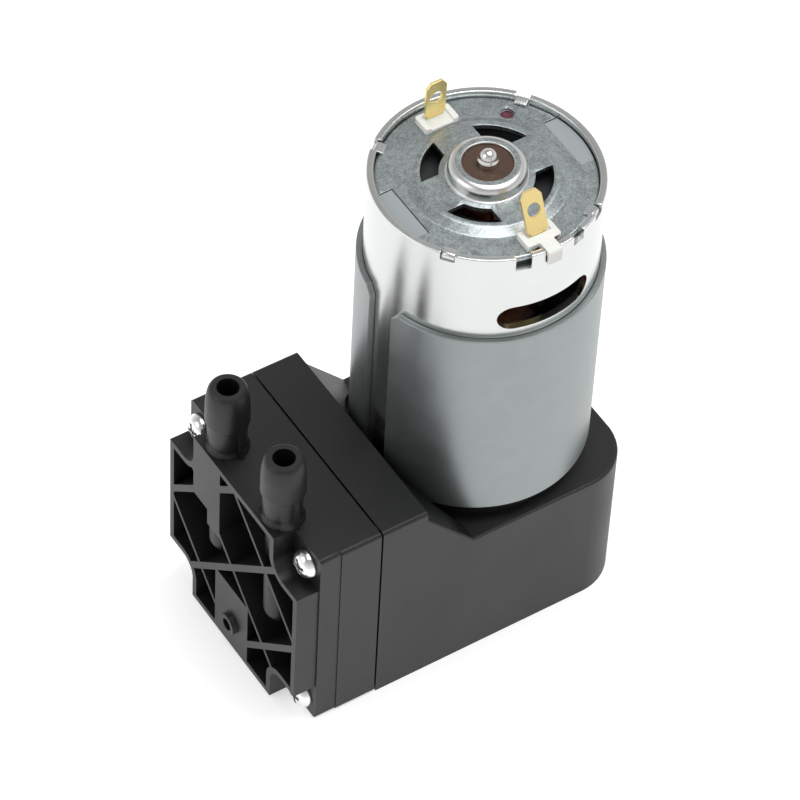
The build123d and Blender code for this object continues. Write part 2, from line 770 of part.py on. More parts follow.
def end_plate_cuts():
    """Four arc windows, two flat windows, two terminal openings and the punched dimple."""
    outer, inner = step_inner - window_edge, rear_boss_diameter / 2 + window_boss_gap
    arc = extrude(sector(outer, inner, window_angle), 6)
    cuts = [Rot(0, 0, 45 + 90 * quarter) * Pos(0, 0, plate_top - 3) * arc for quarter in range(4)]
    levels = (plate_top - 2, plate_top + 1)
    for side in (-1, 1):
        x_range = sorted((side * (can_radius - flat_window_inset), side * can_radius))
        cuts.append(block(x_range, about(0, flat_window_width / 2), levels))
        cuts.append(block(about(terminal_shift, 2.3), about(side * terminal_offset, 0.9), levels))
    dimple = disc(dimple_radius, plate_top - 0.35, plate_top + 1, can_radius - dimple_inset)
    return cuts + [Rot(0, 0, dimple_angle) * dimple]


def make_end_plate():
    """Galvanised end plate: raised centre, arc and flat windows, bearing boss with a round shoulder."""
    edge, skin = can_inner - snug, plate_thickness
    boss, shoulder, mouth = rear_boss_diameter / 2, rear_boss_shoulder / 2, rear_boss_opening / 2
    bearing_top = boss_top - 1.2
    outside = [(edge, plate_top - skin), (edge, plate_top), (step_outer, plate_top),
               (step_inner, centre_top), (boss, centre_top), (boss - 0.15, boss_top - 1.5),
               (shoulder + 0.6, boss_top - 0.35), (shoulder, boss_top), (mouth, boss_top)]
    inside = [(mouth, bearing_top), (rear_bearing_radius, bearing_top),
              (rear_bearing_radius, bearing_top - rear_bearing_length - 0.2),
              (boss - 1.0, centre_top - skin - 0.6), (boss - 0.2, centre_top - skin),
              (step_inner - 0.4, centre_top - skin), (step_outer - 0.4, plate_top - skin)]
    return turned(outside + inside) - end_plate_cuts()


def make_insulator(side):
    """Nylon foot of a terminal: a low U with a hook over the rim of the can."""
    y = side * terminal_offset
    x_range = about(terminal_shift, insulator_width / 2)
    foot = block(x_range, about(y, insulator_depth / 2), (plate_top, plate_top + insulator_height))
    foot = fillet(foot.edges().filter_by(Axis.Z), 0.5)
    channel = sorted((y + side * 0.9, y - side * insulator_depth))
    foot -= block(about(terminal_shift, insulator_width / 2 - 1.3), channel, (plate_top + 1.0, rim_top + 2))
    reach = can_radius + light + hook_wall
    hook = block((terminal_offset + 0.5, reach), about(0, hook_width / 2),
                 (rim_top + hook_height - 0.8, rim_top + hook_height))
    hook += block((can_radius + light, reach), about(0, hook_width / 2),
                  (rim_top - hook_drop, rim_top + hook_height))
    foot += Rot(0, 0, side * 90 + lip_notches[-1][0]) * hook
    foot += block(about(terminal_shift, 2.1), about(y, 0.85), (carrier_top, plate_top))
    slot = block(about(terminal_shift, terminal_width / 2 + light),
                 about(y, terminal_thickness / 2 + light), (carrier_top - 1, rim_top + 4))
    return foot - slot


def make_terminal(side, lean):
    """Brass blade with clipped corners and a hole; its tail runs down to the brush spring."""
    half, clip = terminal_width / 2, terminal_clip
    bend = plate_top + 1.2
    reach = plate_top + terminal_height - bend
    blade = outline([(-half, 0), (-half, reach - clip), (clip - half, reach), (half - clip, reach),
                     (half, reach - clip), (half, 0)])
    blade -= Pos(0, reach - terminal_hole_drop) * Circle(terminal_hole / 2)
    blade = Rot(side * lean, 0, 0) * extrude(Plane.XZ * blade, terminal_thickness / 2, both=True)
    tail = block((-half, half), about(0, terminal_thickness / 2), (arm_low - bend, light))
    return Pos(terminal_shift, side * terminal_offset, bend) * (blade + tail)


def make_brush_carrier():
    """Plastic ring under the end plate with two window pads and two spring posts."""
    edge = can_inner - 0.1
    inner = can_radius - carrier_width
    carrier = ring(edge, inner, carrier_low, carrier_top)
    carrier += ring(inner + 0.9, commutator_radius + 2.9, carrier_low, carrier_low + carrier_shelf)
    for side in (-1, 1):
        pad_range = sorted((side * (can_radius - flat_window_inset + 0.1), side * can_radius))
        pad = block(pad_range, about(0, flat_window_width / 2 - 0.1), (carrier_low, plate_top - loose))
        carrier += pad & disc(edge - 0.1, carrier_low, rim_top)
        y = side * terminal_offset
        carrier -= block(about(terminal_shift, 2.4), about(y, 1.0), (carrier_low - 1, carrier_top + 1))
        carrier += disc(post_radius, arm_low, carrier_low + 0.1, post_x, y - side * post_inset)
    return carrier


def make_brush_springs():
    """Hairpin leaf springs from the terminal tails round the posts to the brushes."""
    springs = []
    for side in (-1, 1):
        start = terminal_offset - terminal_thickness / 2 - spring_thickness / 2 - light
        post_y = terminal_offset - post_inset
        end = brush_back + spring_thickness / 2 + light
        path = Polyline((1.0, side * start), (post_x + 1.3, side * start), (post_x - 1.7, side * post_y),
                        (post_x + 0.3, side * (end + 0.6)), (1.6, side * end))
        springs.append(Pos(0, 0, arm_low) * extrude(trace(path, spring_thickness), arm_height))
    return springs


def make_brushes():
    """Carbon blocks with hollow ends that ride on the commutator."""
    drum = disc(commutator_radius + 0.08, arm_low - 1, arm_high + 1)
    brushes = []
    for side in (-1, 1):
        y_range = sorted((side * 3.0, side * brush_back))
        brushes.append(block(about(0, brush_width / 2), y_range, (arm_low, arm_high)) - drum)
    return brushes


def make_rotor_core():
    """Laminated core with five round slots and narrow slot mouths."""
    slot_centre = core_radius - slot_inset
    core = Circle(core_radius) - Circle(shaft_radius + snug)
    core -= PolarLocations(slot_centre, slot_count) * Circle(slot_radius)
    core -= PolarLocations(core_radius - 1.8, slot_count) * Rectangle(4.4, slot_mouth)
    return Pos(0, 0, core_low) * extrude(core, core_high - core_low)


def make_windings():
    """Copper end turns joined by the coil sides in the slots."""
    low = core_low - turns_height
    outer = core_radius - 1.2
    inner = shaft_radius + 1.6
    crown = turned([(inner, low + 0.6), (inner + 1.0, low), (outer - 1.2, low), (outer, low + 1.2),
                    (outer, core_low), (inner, core_low)])
    coil = crown + mirror(crown, Plane.XY.offset((core_low + core_high) / 2))
    bars = Sketch() + PolarLocations(core_radius - slot_inset, slot_count) * Circle(wire_radius)
    return coil + Pos(0, 0, core_low - 0.5) * extrude(bars, core_high - core_low + 1.0)


def make_commutator():
    """Copper drum cut into five bars, with a wire flange below."""
    bore = shaft_radius + snug
    drum = ring(commutator_radius, bore, commutator_low, commutator_high)
    drum += ring(commutator_radius + commutator_flange, bore, commutator_low, commutator_low + 1.0)
    height = commutator_high - commutator_low
    cuts = Sketch() + Rot(0, 0, 36) * PolarLocations(commutator_radius + 0.6, slot_count) * Rectangle(3.2, 0.4)
    return drum - Pos(0, 0, commutator_low) * extrude(cuts, height)


def make_magnets():
    """Two arc magnets along the inside of the can."""
    low, high = core_low - magnet_overhang, core_high + magnet_overhang
    arc = sector(can_inner - snug, core_radius + air_gap, magnet_angle)
    tile = Pos(0, 0, low) * extrude(arc, high - low)
    return [tile, Rot(0, 0, 180) * tile]


def make_magnet_clips():
    """Thin springs that wedge the magnets apart at both sides."""
    outer = can_inner - snug
    arc = sector(outer, outer - clip_thickness, 179 - magnet_angle)
    clip = Pos(0, 0, core_low) * extrude(arc, core_high - core_low)
    return [Rot(0, 0, 90) * clip, Rot(0, 0, -90) * clip]


front_bearing_low = motor_face - front_boss_height + can_wall
front_bearing_high = front_bearing_low + bearing_length
rear_bearing_high = boss_top - 1.2
rear_bearing_low = rear_bearing_high - rear_bearing_length


def make_front_bearing():
    outer = front_boss_diameter / 2 - can_wall - snug
    return ring(outer, shaft_radius + running, front_bearing_low, front_bearing_high)


def make_rear_bearing():
    return ring(rear_bearing_radius - snug, shaft_radius + running, rear_bearing_low, rear_bearing_high)


def make_shaft_washers():
    """Washers on the shaft that face both bearings."""
    width, thickness = 2.9, 0.8
    low = front_bearing_high + loose
    high = rear_bearing_low - loose
    return [ring(width, shaft_radius + snug, low, low + thickness),
            ring(width, shaft_radius + snug, high - thickness, high)]


save("pump_body", make_pump_body())
save("bottom_cover", make_bottom_cover())
save("bottom_cover_screws", *make_cover_screws())
save("head_cover", make_head_cover())
save("valve_body", make_valve_body())
save("head_screws", *make_head_screws())
save("inlet_valve", make_inlet_valve())
save("outlet_valve", make_outlet_valve())
save("port_seals", *make_port_seals())
save("diaphragm", make_diaphragm())
save("piston_plate", make_piston_plate())
save("diaphragm_screw", make_diaphragm_screw())
save("connecting_rod", make_connecting_rod())
save("rod_bearing_outer_ring", bearing_ring(bearing_outside / 2, bearing_outside / 2 - race_wall))
save("rod_bearing_inner_ring", bearing_ring(bearing_bore / 2 + race_wall, bearing_bore / 2))
save("rod_bearing_balls", *make_bearing_balls())
save("eccentric", make_eccentric())
save("eccentric_set_screw", make_set_screw())
save("counterweight", make_counterweight())
save("motor_shaft", make_shaft())
save("motor_can", make_motor_can())
save("flux_ring", make_flux_ring())
save("motor_end_plate", make_end_plate())
save("motor_screws", *make_motor_screws())
save("front_bearing", make_front_bearing())
save("rear_bearing", make_rear_bearing())
save("shaft_washers", *make_shaft_washers())
save("rotor_core", make_rotor_core())
save("windings", make_windings())
save("commutator", make_commutator())
save("magnets", *make_magnets())
save("magnet_clips", *make_magnet_clips())
save("brush_carrier", make_brush_carrier())
save("brushes", *make_brushes())
save("brush_springs", *make_brush_springs())
save("terminal_insulator_far", make_insulator(1))
save("terminal_insulator_near", make_insulator(-1))
save("terminal_far", make_terminal(1, 0.0))
save("terminal_near", make_terminal(-1, terminal_lean))
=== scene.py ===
"""Dresses a diaphragm suction pump: a can motor upright on a black crankcase, with a ribbed head.

Metres. The motor axis is the Z axis, the head points to -X and the base stands on Z = 0.
"""

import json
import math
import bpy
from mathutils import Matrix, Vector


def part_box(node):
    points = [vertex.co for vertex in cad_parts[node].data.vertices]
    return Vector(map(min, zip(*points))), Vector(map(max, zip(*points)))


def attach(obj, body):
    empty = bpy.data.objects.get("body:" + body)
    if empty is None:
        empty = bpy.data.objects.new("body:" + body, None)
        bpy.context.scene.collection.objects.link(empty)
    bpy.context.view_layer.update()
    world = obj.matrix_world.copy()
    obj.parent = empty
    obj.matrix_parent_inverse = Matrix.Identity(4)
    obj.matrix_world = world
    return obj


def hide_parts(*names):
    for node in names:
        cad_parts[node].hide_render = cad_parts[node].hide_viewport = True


bl_info = {
    "name": "Suction Pump Dresser",
    "version": (1, 0, 0),
    "blender": (4, 5, 0),
    "location": "3D View > Sidebar > Pump",
    "description": "Builds the detailed pieces and finishes of a diaphragm suction pump around its frame",
    "category": "Object",
}

import bmesh
import bpy
from mathutils import Matrix, Vector

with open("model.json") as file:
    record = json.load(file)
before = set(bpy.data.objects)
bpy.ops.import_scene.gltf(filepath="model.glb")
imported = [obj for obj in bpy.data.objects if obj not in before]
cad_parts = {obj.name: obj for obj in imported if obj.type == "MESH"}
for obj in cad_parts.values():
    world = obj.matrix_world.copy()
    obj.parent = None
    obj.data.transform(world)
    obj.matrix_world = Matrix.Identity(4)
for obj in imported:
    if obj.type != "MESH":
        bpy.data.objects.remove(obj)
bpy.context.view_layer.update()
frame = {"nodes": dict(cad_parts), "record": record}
MM = 0.001


def reach(node, axis):
    """Lowest and highest place of a frame node along an axis, 0 for X to 2 for Z."""
    low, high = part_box(node)
    return low[axis], high[axis]


def width(node, axis):
    low, high = reach(node, axis)
    return high - low


# Sizes and colours that a user would change

def size_property(name, description, default):
    """A length in metres that a user can set."""
    return bpy.props.FloatProperty(name=name, description=description, default=default, unit="LENGTH")


def colour_property(name, description, default):
    """A base colour that a user can set."""
    return bpy.props.FloatVectorProperty(
        name=name, description=description, default=default, subtype="COLOR", size=3)


class MotorSizes(bpy.types.PropertyGroup):
    """Sizes of the can motor; its radius and heights start from the frame."""
    can_radius: size_property("Can radius", "Outside radius of the motor can", width("motor_can", 1) / 2)
    can_wall: size_property("Can wall", "Sheet thickness of the motor can", 1.1 * MM)
    can_edge: size_property("Can edge", "Radius of the drawn lower edge", 1.5 * MM)
    rim_top: size_property("Rim height", "Height of the rolled rim", reach("motor_can", 2)[1])
    face: size_property("Mounting face", "Height of the face that stands on the crankcase",
                        reach("flux_ring", 2)[0] - 2.1 * MM)
    lip: size_property("Lip", "Rim of the can above the end plate", 1.0 * MM)
    vent_length: size_property("Vent length", "Length of a vent slot", 16.0 * MM)
    vent_height: size_property("Vent height", "Height of a vent slot", 4.7 * MM)
    vent_drop: size_property("Vent drop", "Rim to the middle of the vent slots", 12.75 * MM)
    ring_gap: size_property("Ring gap", "Opening of the flux ring", 5.3 * MM)
    ring_gap_angle: bpy.props.FloatProperty(
        name="Ring gap angle", description="Where the flux ring opens, from +X",
        default=math.radians(183.5), subtype="ANGLE")
    ring_corner: size_property("Ring corner", "Clipped corner of the flux ring", 1.4 * MM)
    segments: bpy.props.IntProperty(
        name="Segments", description="Steps around a turned piece", default=192, min=24, max=512)


class HeadSizes(bpy.types.PropertyGroup):
    """Sizes of the screws of the pumping head."""
    screw_pitch_y: size_property("Screw pitch across", "Head screws, centre to centre across", 31.2 * MM)
    screw_pitch_z: size_property("Screw pitch upright", "Head screws, centre to centre upwards", 31.95 * MM)
    screw_head_radius: size_property("Screw head radius", "Radius of a pan head", 2.45 * MM)
    screw_head_height: size_property("Screw head height", "Height of a pan head", 1.9 * MM)


class FinishColours(bpy.types.PropertyGroup):
    """Base colours of the visible finishes."""
    plastic: colour_property("Black plastic", "Moulded crankcase and head", (0.0052, 0.0054, 0.0060))
    can: colour_property("Can", "Bright plated can", (0.69, 0.705, 0.695))
    ring: colour_property("Flux ring", "Satin zinc", (0.30, 0.325, 0.325))
    plate: colour_property("End plate", "Galvanised sheet", (0.40, 0.44, 0.445))
    brass: colour_property("Brass", "Terminals", (0.91, 0.73, 0.33))
    nylon: colour_property("Nylon", "Terminal insulators", (0.86, 0.86, 0.83))


class PumpSettings(bpy.types.PropertyGroup):
    """All settings of the pump."""
    motor: bpy.props.PointerProperty(type=MotorSizes)
    head: bpy.props.PointerProperty(type=HeadSizes)
    colours: bpy.props.PointerProperty(type=FinishColours)


def settings():
    return bpy.context.scene.pump_settings


def plate_level(motor):
    """Height of the end plate's flat rim."""
    return motor.rim_top - motor.lip


# Places that more than one piece goes by

PAST = 1.0 * MM  # how far a cutter runs past what it cuts
UPRIGHT = Matrix.Rotation(math.radians(90), 4, "X")  # stands a flat outline up
PLATE_RISE = 0.8 * MM  # flat rim to the raised centre of the end plate
DIMPLE_ANGLE = 44.0  # degrees from +X
DIMPLE_INSET = 4.25 * MM  # outside of the can to the middle of the dimple
TERMINAL_INSET = 3.9 * MM  # outside of the can to the middle of a blade
TERMINAL_SHIFT = -0.25 * MM  # middle of a terminal along X


# Shader maths

class Signal:
    """Output of a node, which takes part in shader arithmetic; each operation adds a Math node."""

    def __init__(self, nodes, socket):
        self.nodes = nodes
        self.socket = socket

    def math(self, operation, *values):
        sockets = dict(enumerate(values))
        return self.nodes.node("ShaderNodeMath", {"operation": operation}, sockets)

    def __add__(self, other):
        return self.math("ADD", self, other)

    def __sub__(self, other):
        return self.math("SUBTRACT", self, other)

    def __rsub__(self, other):
        return self.math("SUBTRACT", other, self)

    def __mul__(self, other):
        return self.math("MULTIPLY", self, other)

    def __truediv__(self, other):
        return self.math("DIVIDE", self, other)

    def __pow__(self, other):
        return self.math("POWER", self, other)

    __radd__ = __add__


class Nodes:
    """A node tree under construction."""

    def __init__(self, tree):
        self.tree = tree

    def fill(self, socket, value):
        """Sets a socket to a number or colour, or links a signal to it."""
        if isinstance(value, Signal):
            self.tree.links.new(value.socket, socket)
        elif hasattr(socket.default_value, "__len__") and len(value) < len(socket.default_value):
            socket.default_value = (*value, 1.0)
        else:
            socket.default_value = value

    def node(self, kind, choices=None, sockets=None, output=0):
        """Adds a node, makes its choices, fills its sockets and returns one output as a signal."""
        made = self.tree.nodes.new(kind)
        for name, choice in (choices or {}).items():
            if name == "stops":
                ramp = made.color_ramp.elements
                while len(ramp) < len(choice):
                    ramp.new(0.5)
                for stop, (position, level) in zip(ramp, choice):
                    stop.position = position
                    stop.color = (level, level, level, 1.0)
            else:
                setattr(made, name, choice)
        for key, value in (sockets or {}).items():
            self.fill(made.inputs[key], value)
        return Signal(self, made.outputs[output])


class Finish(Nodes):
    """A material under construction: one node tree around a Principled shader."""

    def __init__(self, name):
        self.material = bpy.data.materials.new(name)
        self.material.use_nodes = True
        super().__init__(self.material.node_tree)
        self.shader = self.tree.nodes["Principled BSDF"]
        self.place = self.node("ShaderNodeTexCoord", output="Object")

    def set(self, **values):
        """Fills sockets of the Principled shader; underscores stand for spaces."""
        for key, value in values.items():
            self.fill(self.shader.inputs[key.replace("_", " ")], value)

    def noise(self, scale, detail=4.0, stretch=(1, 1, 1), distortion=0.0):
        """Noise from 0 to 1 on object coordinates, stretched along the axes."""
        place = self.node("ShaderNodeMapping", None, {"Vector": self.place, "Scale": stretch})
        return self.node("ShaderNodeTexNoise", None, {
            "Vector": place, "Scale": scale, "Detail": detail, "Roughness": 0.55,
            "Distortion": distortion}, "Fac")

    def ramp(self, value, *stops):
        """Maps a signal through grey stops of (position, level)."""
        return self.node("ShaderNodeValToRGB", {"stops": stops}, {"Fac": value}, "Color")

    def blend(self, factor, first, second):
        """Mixes two colours by a factor."""
        return self.node("ShaderNodeMix", {"data_type": "RGBA"}, {0: factor, 6: first, 7: second}, 2)

    def tinted(self, factor, colour, dark, light):
        """Mixes a darker and a lighter shade of a colour by a factor."""
        return self.blend(factor, scaled(colour, dark), scaled(colour, light))

    def coordinate(self, index):
        """One object coordinate as a signal: 0 for X to 2 for Z."""
        return self.node("ShaderNodeSeparateXYZ", None, {0: self.place}, index)

    def bump(self, height, distance):
        """Feeds a height to the shader's normal and returns the material; distance in metres."""
        self.set(Normal=self.node("ShaderNodeBump", None, {
            "Height": height, "Distance": distance, "Strength": 1.0}))
        return self.material


def scaled(colour, factor):
    return tuple(min(1.0, channel * factor) for channel in colour)


# Finishes

def plastic_skin(name, roughness, grain=0.0006):
    """Moulded plastic without its colour, and its flow clouds; the skin has a fine spark grain."""
    finish = Finish(name)
    grainy = finish.noise(1 / grain, detail=3.0)
    clouds = finish.noise(90.0, detail=5.0, distortion=0.6)
    finish.set(Roughness=roughness + (clouds - 0.5) * 0.14 + grainy * 0.05, Specular_IOR_Level=0.5)
    finish.bump(grainy + finish.noise(0.35 / grain, detail=2.0) * 0.6, 0.000006)
    return finish, clouds


def moulded_plastic(name, colour, roughness=0.42):
    """Injection moulded plastic of one colour, with lighter rubbed spots."""
    finish, clouds = plastic_skin(name, roughness)
    rubbed = finish.ramp(finish.noise(420.0, detail=6.0), (0.62, 0.0), (0.80, 1.0))
    tone = finish.tinted(clouds, colour, 0.85, 1.2)
    finish.set(Base_Color=finish.blend(rubbed * 0.12, tone, scaled(colour, 5.0)))
    return finish.material


def plastic_with_painted_shade(name, colour, painted_shade_top, fade=0.1 * MM):
    """Plastic with painted shade: dark below a height, as shade inside the motor, and a paler grey on the
    pads above it.
    """
    finish, clouds = plastic_skin(name, roughness=0.4)
    # Painted shade: below this height the colour drops to a dark copy, as shade inside the motor; above it
    # the pads keep a paler grey.
    above_painted_shade = finish.ramp((finish.coordinate(2) - painted_shade_top) / fade, (0.0, 0.0), (1.0, 1.0))
    finish.set(Base_Color=finish.tinted(above_painted_shade, colour, 0.12, 1.35))
    return finish.material


def bright_can(name, colour):
    """Drawn and plated sheet: fine upright draw lines, faint bands around, soft stains."""
    finish = Finish(name)
    lines = finish.noise(2600.0, stretch=(1, 1, 0.012))
    bands = finish.noise(700.0, detail=3.0, stretch=(0.02, 0.02, 1))
    stains = finish.noise(130.0, detail=6.0, distortion=0.8)
    tone = finish.tinted(stains * 0.5 + lines * 0.3, colour, 0.86, 1.08)
    finish.set(Base_Color=tone, Metallic=1.0)
    finish.set(Roughness=0.16 + stains * 0.10 + lines * 0.06)
    return finish.bump(lines * 0.7 + bands * 0.3, 0.0000022)


def satin_zinc(name, colour):
    """Passivated zinc on the flux ring: dull, slightly cloudy, with fine rolling lines."""
    finish = Finish(name)
    clouds = finish.noise(160.0, detail=6.0, distortion=0.5)
    specks = finish.noise(2400.0)
    lines = finish.noise(1500.0, detail=3.0, stretch=(0.03, 0.03, 1))
    tone = finish.tinted(clouds * 0.7 + specks * 0.3, colour, 0.80, 1.20)
    finish.set(Base_Color=tone, Metallic=0.92)
    finish.set(Roughness=0.30 + clouds * 0.14 + specks * 0.06)
    return finish.bump(specks * 0.7 + lines * 0.3, 0.0000045)


def galvanised(name, colour, dot_place, dot_radius):
    """Zinc coat: very fine crystals, soft streaks, and a small dab of red paint in the dimple."""
    finish = Finish(name)
    bent = finish.noise(1500.0, distortion=0.6)
    crystals = finish.node("ShaderNodeTexVoronoi", {"feature": "F1"}, {
        "Vector": finish.place, "Scale": 5200.0, "Randomness": 1.0}, "Color")
    crystals = finish.node("ShaderNodeSeparateColor", None, {0: crystals}, 0)
    streaks = finish.noise(420.0, detail=7.0, distortion=1.2)
    level = crystals * 0.35 + streaks * 0.65
    tone = finish.tinted(finish.ramp(level, (0.3, 0.0), (0.7, 1.0)), colour, 0.74, 1.28)
    away = finish.node("ShaderNodeVectorMath", {"operation": "DISTANCE"}, {
        0: finish.place, 1: dot_place}, 1)
    ragged = away / dot_radius + bent * 0.35
    dot = finish.ramp(ragged, (0.95, 1.0), (1.12, 0.0))
    mottled = finish.ramp(bent, (0.42, 0.0), (0.58, 1.0))
    paint = finish.blend(mottled, (0.03, 0.008, 0.014), (0.15, 0.03, 0.055))
    finish.set(Base_Color=finish.blend(dot, tone, paint))
    finish.set(Metallic=1.0 - dot, Roughness=0.27 + level * 0.16 + dot * 0.1)
    return finish.bump(level + finish.noise(1800.0, detail=3.0) * 0.3, 0.000006)


def turned_metal(name, colour, roughness=0.2, lines=3200.0):
    """Turned or ground metal: fine rings around the motor axis and small scratches."""
    finish = Finish(name)
    x, y = finish.coordinate(0), finish.coordinate(1)
    radius = (x * x + y * y) ** 0.5
    rings = finish.node("ShaderNodeTexNoise", {"noise_dimensions": "1D"}, {
        "W": radius, "Scale": lines, "Detail": 3.0}, "Fac")
    marks = finish.noise(900.0, detail=6.0, distortion=1.0)
    finish.set(Base_Color=finish.tinted(marks, colour, 0.9, 1.08))
    finish.set(Metallic=1.0, Roughness=roughness + marks * 0.10)
    return finish.bump(rings * 0.6 + marks * 0.4, 0.0000018)


def plain_metal(name, colour, roughness=0.28, tarnish=0.25):
    """Stamped or plated metal: cloudy tarnish, fine scratches both ways."""
    finish = Finish(name)
    clouds = finish.noise(520.0, detail=6.0, distortion=0.7)
    scratch = finish.noise(2600.0, detail=3.0, stretch=(1, 0.08, 0.3))
    spots = finish.ramp(finish.noise(900.0, detail=5.0), (0.58, 0.0), (0.72, 1.0))
    tone = finish.tinted(clouds, colour, 1.0 - tarnish * 0.5, 1.06)
    tone = finish.blend(spots * tarnish, tone, scaled(colour, 0.55))
    finish.set(Base_Color=tone, Metallic=1.0)
    finish.set(Roughness=roughness + clouds * 0.12 + scratch * 0.05)
    return finish.bump(scratch * 0.6 + clouds * 0.4, 0.000004)


def sintered(name, colour):
    """Porous bearing metal soaked with oil."""
    finish = Finish(name)
    pores = finish.node("ShaderNodeTexVoronoi", {"feature": "F1"}, {
        "Vector": finish.place, "Scale": 3600.0}, "Distance")
    clouds = finish.noise(700.0, detail=5.0)
    finish.set(Base_Color=finish.tinted(clouds, colour, 0.7, 1.3))
    finish.set(Metallic=0.85, Roughness=0.30 + pores * 0.35)
    return finish.bump(pores, 0.000012)


def milky_nylon(name, colour):
    """Translucent nylon: light passes into it, with a soft skin and moulding clouds."""
    finish = Finish(name)
    clouds = finish.noise(600.0, distortion=0.5)
    grain = finish.noise(2600.0, detail=3.0)
    finish.set(Base_Color=finish.tinted(clouds, colour, 0.94, 1.03))
    finish.set(Roughness=0.34 + clouds * 0.12, Subsurface_Weight=0.35, Subsurface_Scale=0.0012)
    return finish.bump(grain * 0.5 + clouds * 0.5, 0.000008)


def wound_copper(name, colour):
    """Enamelled wire: close turns that run along the coil sides, with varnish patches."""
    finish = Finish(name)
    turns = finish.node("ShaderNodeTexWave", {"wave_type": "RINGS", "rings_direction": "Z"}, {
        "Vector": finish.place, "Scale": 700.0, "Distortion": 3.0, "Detail": 2.0}, "Fac")
    patches = finish.noise(420.0)
    finish.set(Base_Color=finish.tinted(patches, colour, 0.6, 1.15))
    finish.set(Metallic=0.85, Roughness=0.28 + patches * 0.15)
    return finish.bump(turns, 0.00006)


def matt_block(name, colour, roughness, metallic=0.0, grain=0.0004):
    """Pressed or cured matter such as ferrite, carbon and rubber: dull, with a powdery skin."""
    finish = Finish(name)
    powder = finish.noise(1 / grain)
    clouds = finish.noise(240.0)
    finish.set(Base_Color=finish.tinted(clouds, colour, 0.8, 1.25))
    finish.set(Roughness=roughness + powder * 0.15, Metallic=metallic)
    return finish.bump(powder, 0.00001)


def stacked_sheets(name, colour, pitch=0.0005):
    """Core of thin sheets: a line at each sheet along the motor axis."""
    finish = Finish(name)
    height = finish.coordinate(2) / pitch
    joint = finish.ramp(height.math("FRACT", height), (0.0, 0.0), (0.12, 1.0), (0.88, 1.0), (1.0, 0.0))
    clouds = finish.noise(600.0, detail=5.0)
    tone = finish.tinted(joint * 0.7 + clouds * 0.3, colour, 0.5, 1.2)
    finish.set(Base_Color=tone, Metallic=0.9, Roughness=0.34 + clouds * 0.2)
    return finish.bump(joint, 0.00002)


MATERIALS = {}


def make_materials():
    """One finish for each slot of the record, and a few that only the scene uses."""
    colours, motor = settings().colours, settings().motor
    dot_depth, dot_radius, painted_shade_top_depth = 0.2 * MM, 1.25 * MM, 0.7 * MM
    angle, away = math.radians(DIMPLE_ANGLE), motor.can_radius - DIMPLE_INSET
    dot_place = (away * math.cos(angle), away * math.sin(angle), plate_level(motor) - dot_depth)
    # Maker, colour, then the maker's other values in their order
    finishes = {
        "black_plastic": (moulded_plastic, colours.plastic),
        "can_steel": (bright_can, colours.can),
        "ring_steel": (satin_zinc, colours.ring),
        "galvanised_steel": (galvanised, colours.plate, dot_place, dot_radius),
        # On the end plate this brighter finish is given by facing, as a painted highlight on the boss sides
        "boss_steel": (turned_metal, (0.72, 0.72, 0.71), 0.24, 2200.0),
        "plate_steel": (plain_metal, (0.58, 0.58, 0.56)),
        "screw_steel": (plain_metal, (0.86, 0.87, 0.86), 0.14, 0.12),
        "bearing_steel": (turned_metal, (0.72, 0.71, 0.69), 0.16),
        "core_steel": (stacked_sheets, (0.30, 0.30, 0.31)),
        "sintered_bronze": (sintered, (0.12, 0.078, 0.058)),
        "brass": (plain_metal, colours.brass, 0.32, 0.15),
        "copper": (wound_copper, (0.66, 0.25, 0.13)),
        "nylon_white": (milky_nylon, colours.nylon),
        "rod_plastic": (moulded_plastic, (0.52, 0.49, 0.42), 0.5),
        # carrier_grey: painted shade inside the motor below the pads, paler grey on the pads
        "carrier_grey": (plastic_with_painted_shade, (0.25, 0.27, 0.28), plate_level(motor) - painted_shade_top_depth),
        "rubber": (matt_block, (0.018, 0.018, 0.018), 0.55),
        "aluminium": (turned_metal, (0.80, 0.81, 0.82), 0.26),
        "ferrite": (matt_block, (0.035, 0.035, 0.037), 0.5, 0.3),
        "carbon": (matt_block, (0.03, 0.03, 0.032), 0.45, 0.3),
    }
    for name, (maker, *values) in finishes.items():
        MATERIALS[name] = maker(name, *values)


# Mesh helpers

def in_scene(name, data):
    """A new object in the scene."""
    item = bpy.data.objects.new(name, data)
    bpy.context.scene.collection.objects.link(item)
    return item


def new_piece(name, mesh, finish, replaced, body="housing"):
    """Puts a mesh with one finish in the scene, on its body, in place of frame nodes."""
    piece = in_scene(name, mesh)
    mesh.materials.clear()
    mesh.materials.append(MATERIALS[finish])
    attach(piece, body)
    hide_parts(*replaced)
    return piece


def mesh_of(shape, name, smooth_angle=30.0):
    """A mesh from a bmesh with outward normals, smooth except at corners."""
    bmesh.ops.remove_doubles(shape, verts=shape.verts, dist=1e-7)
    bmesh.ops.recalc_face_normals(shape, faces=shape.faces)
    mesh = bpy.data.meshes.new(name)
    shape.to_mesh(mesh)
    shape.free()
    shade(mesh, smooth_angle)
    return mesh


def shade(mesh, smooth_angle=30.0):
    """Smooth faces with sharp edges where they meet at more than an angle."""
    mesh.shade_smooth()
    mesh.set_sharp_from_angle(angle=math.radians(smooth_angle))


def evaluated(piece):
    """The piece's mesh with its modifiers applied; the modifiers are removed."""
    graph = bpy.context.evaluated_depsgraph_get()
    mesh = bpy.data.meshes.new_from_object(piece.evaluated_get(graph))
    piece.modifiers.clear()
    return mesh


def apply_modifier(mesh, kind, **choices):
    """Runs one modifier over a mesh by way of a passing object and returns the new mesh."""
    passing = in_scene("passing", mesh)
    modifier = passing.modifiers.new(kind.title(), kind)
    for name, choice in choices.items():
        setattr(modifier, name, choice)
    result = evaluated(passing)
    bpy.data.objects.remove(passing)
    return result


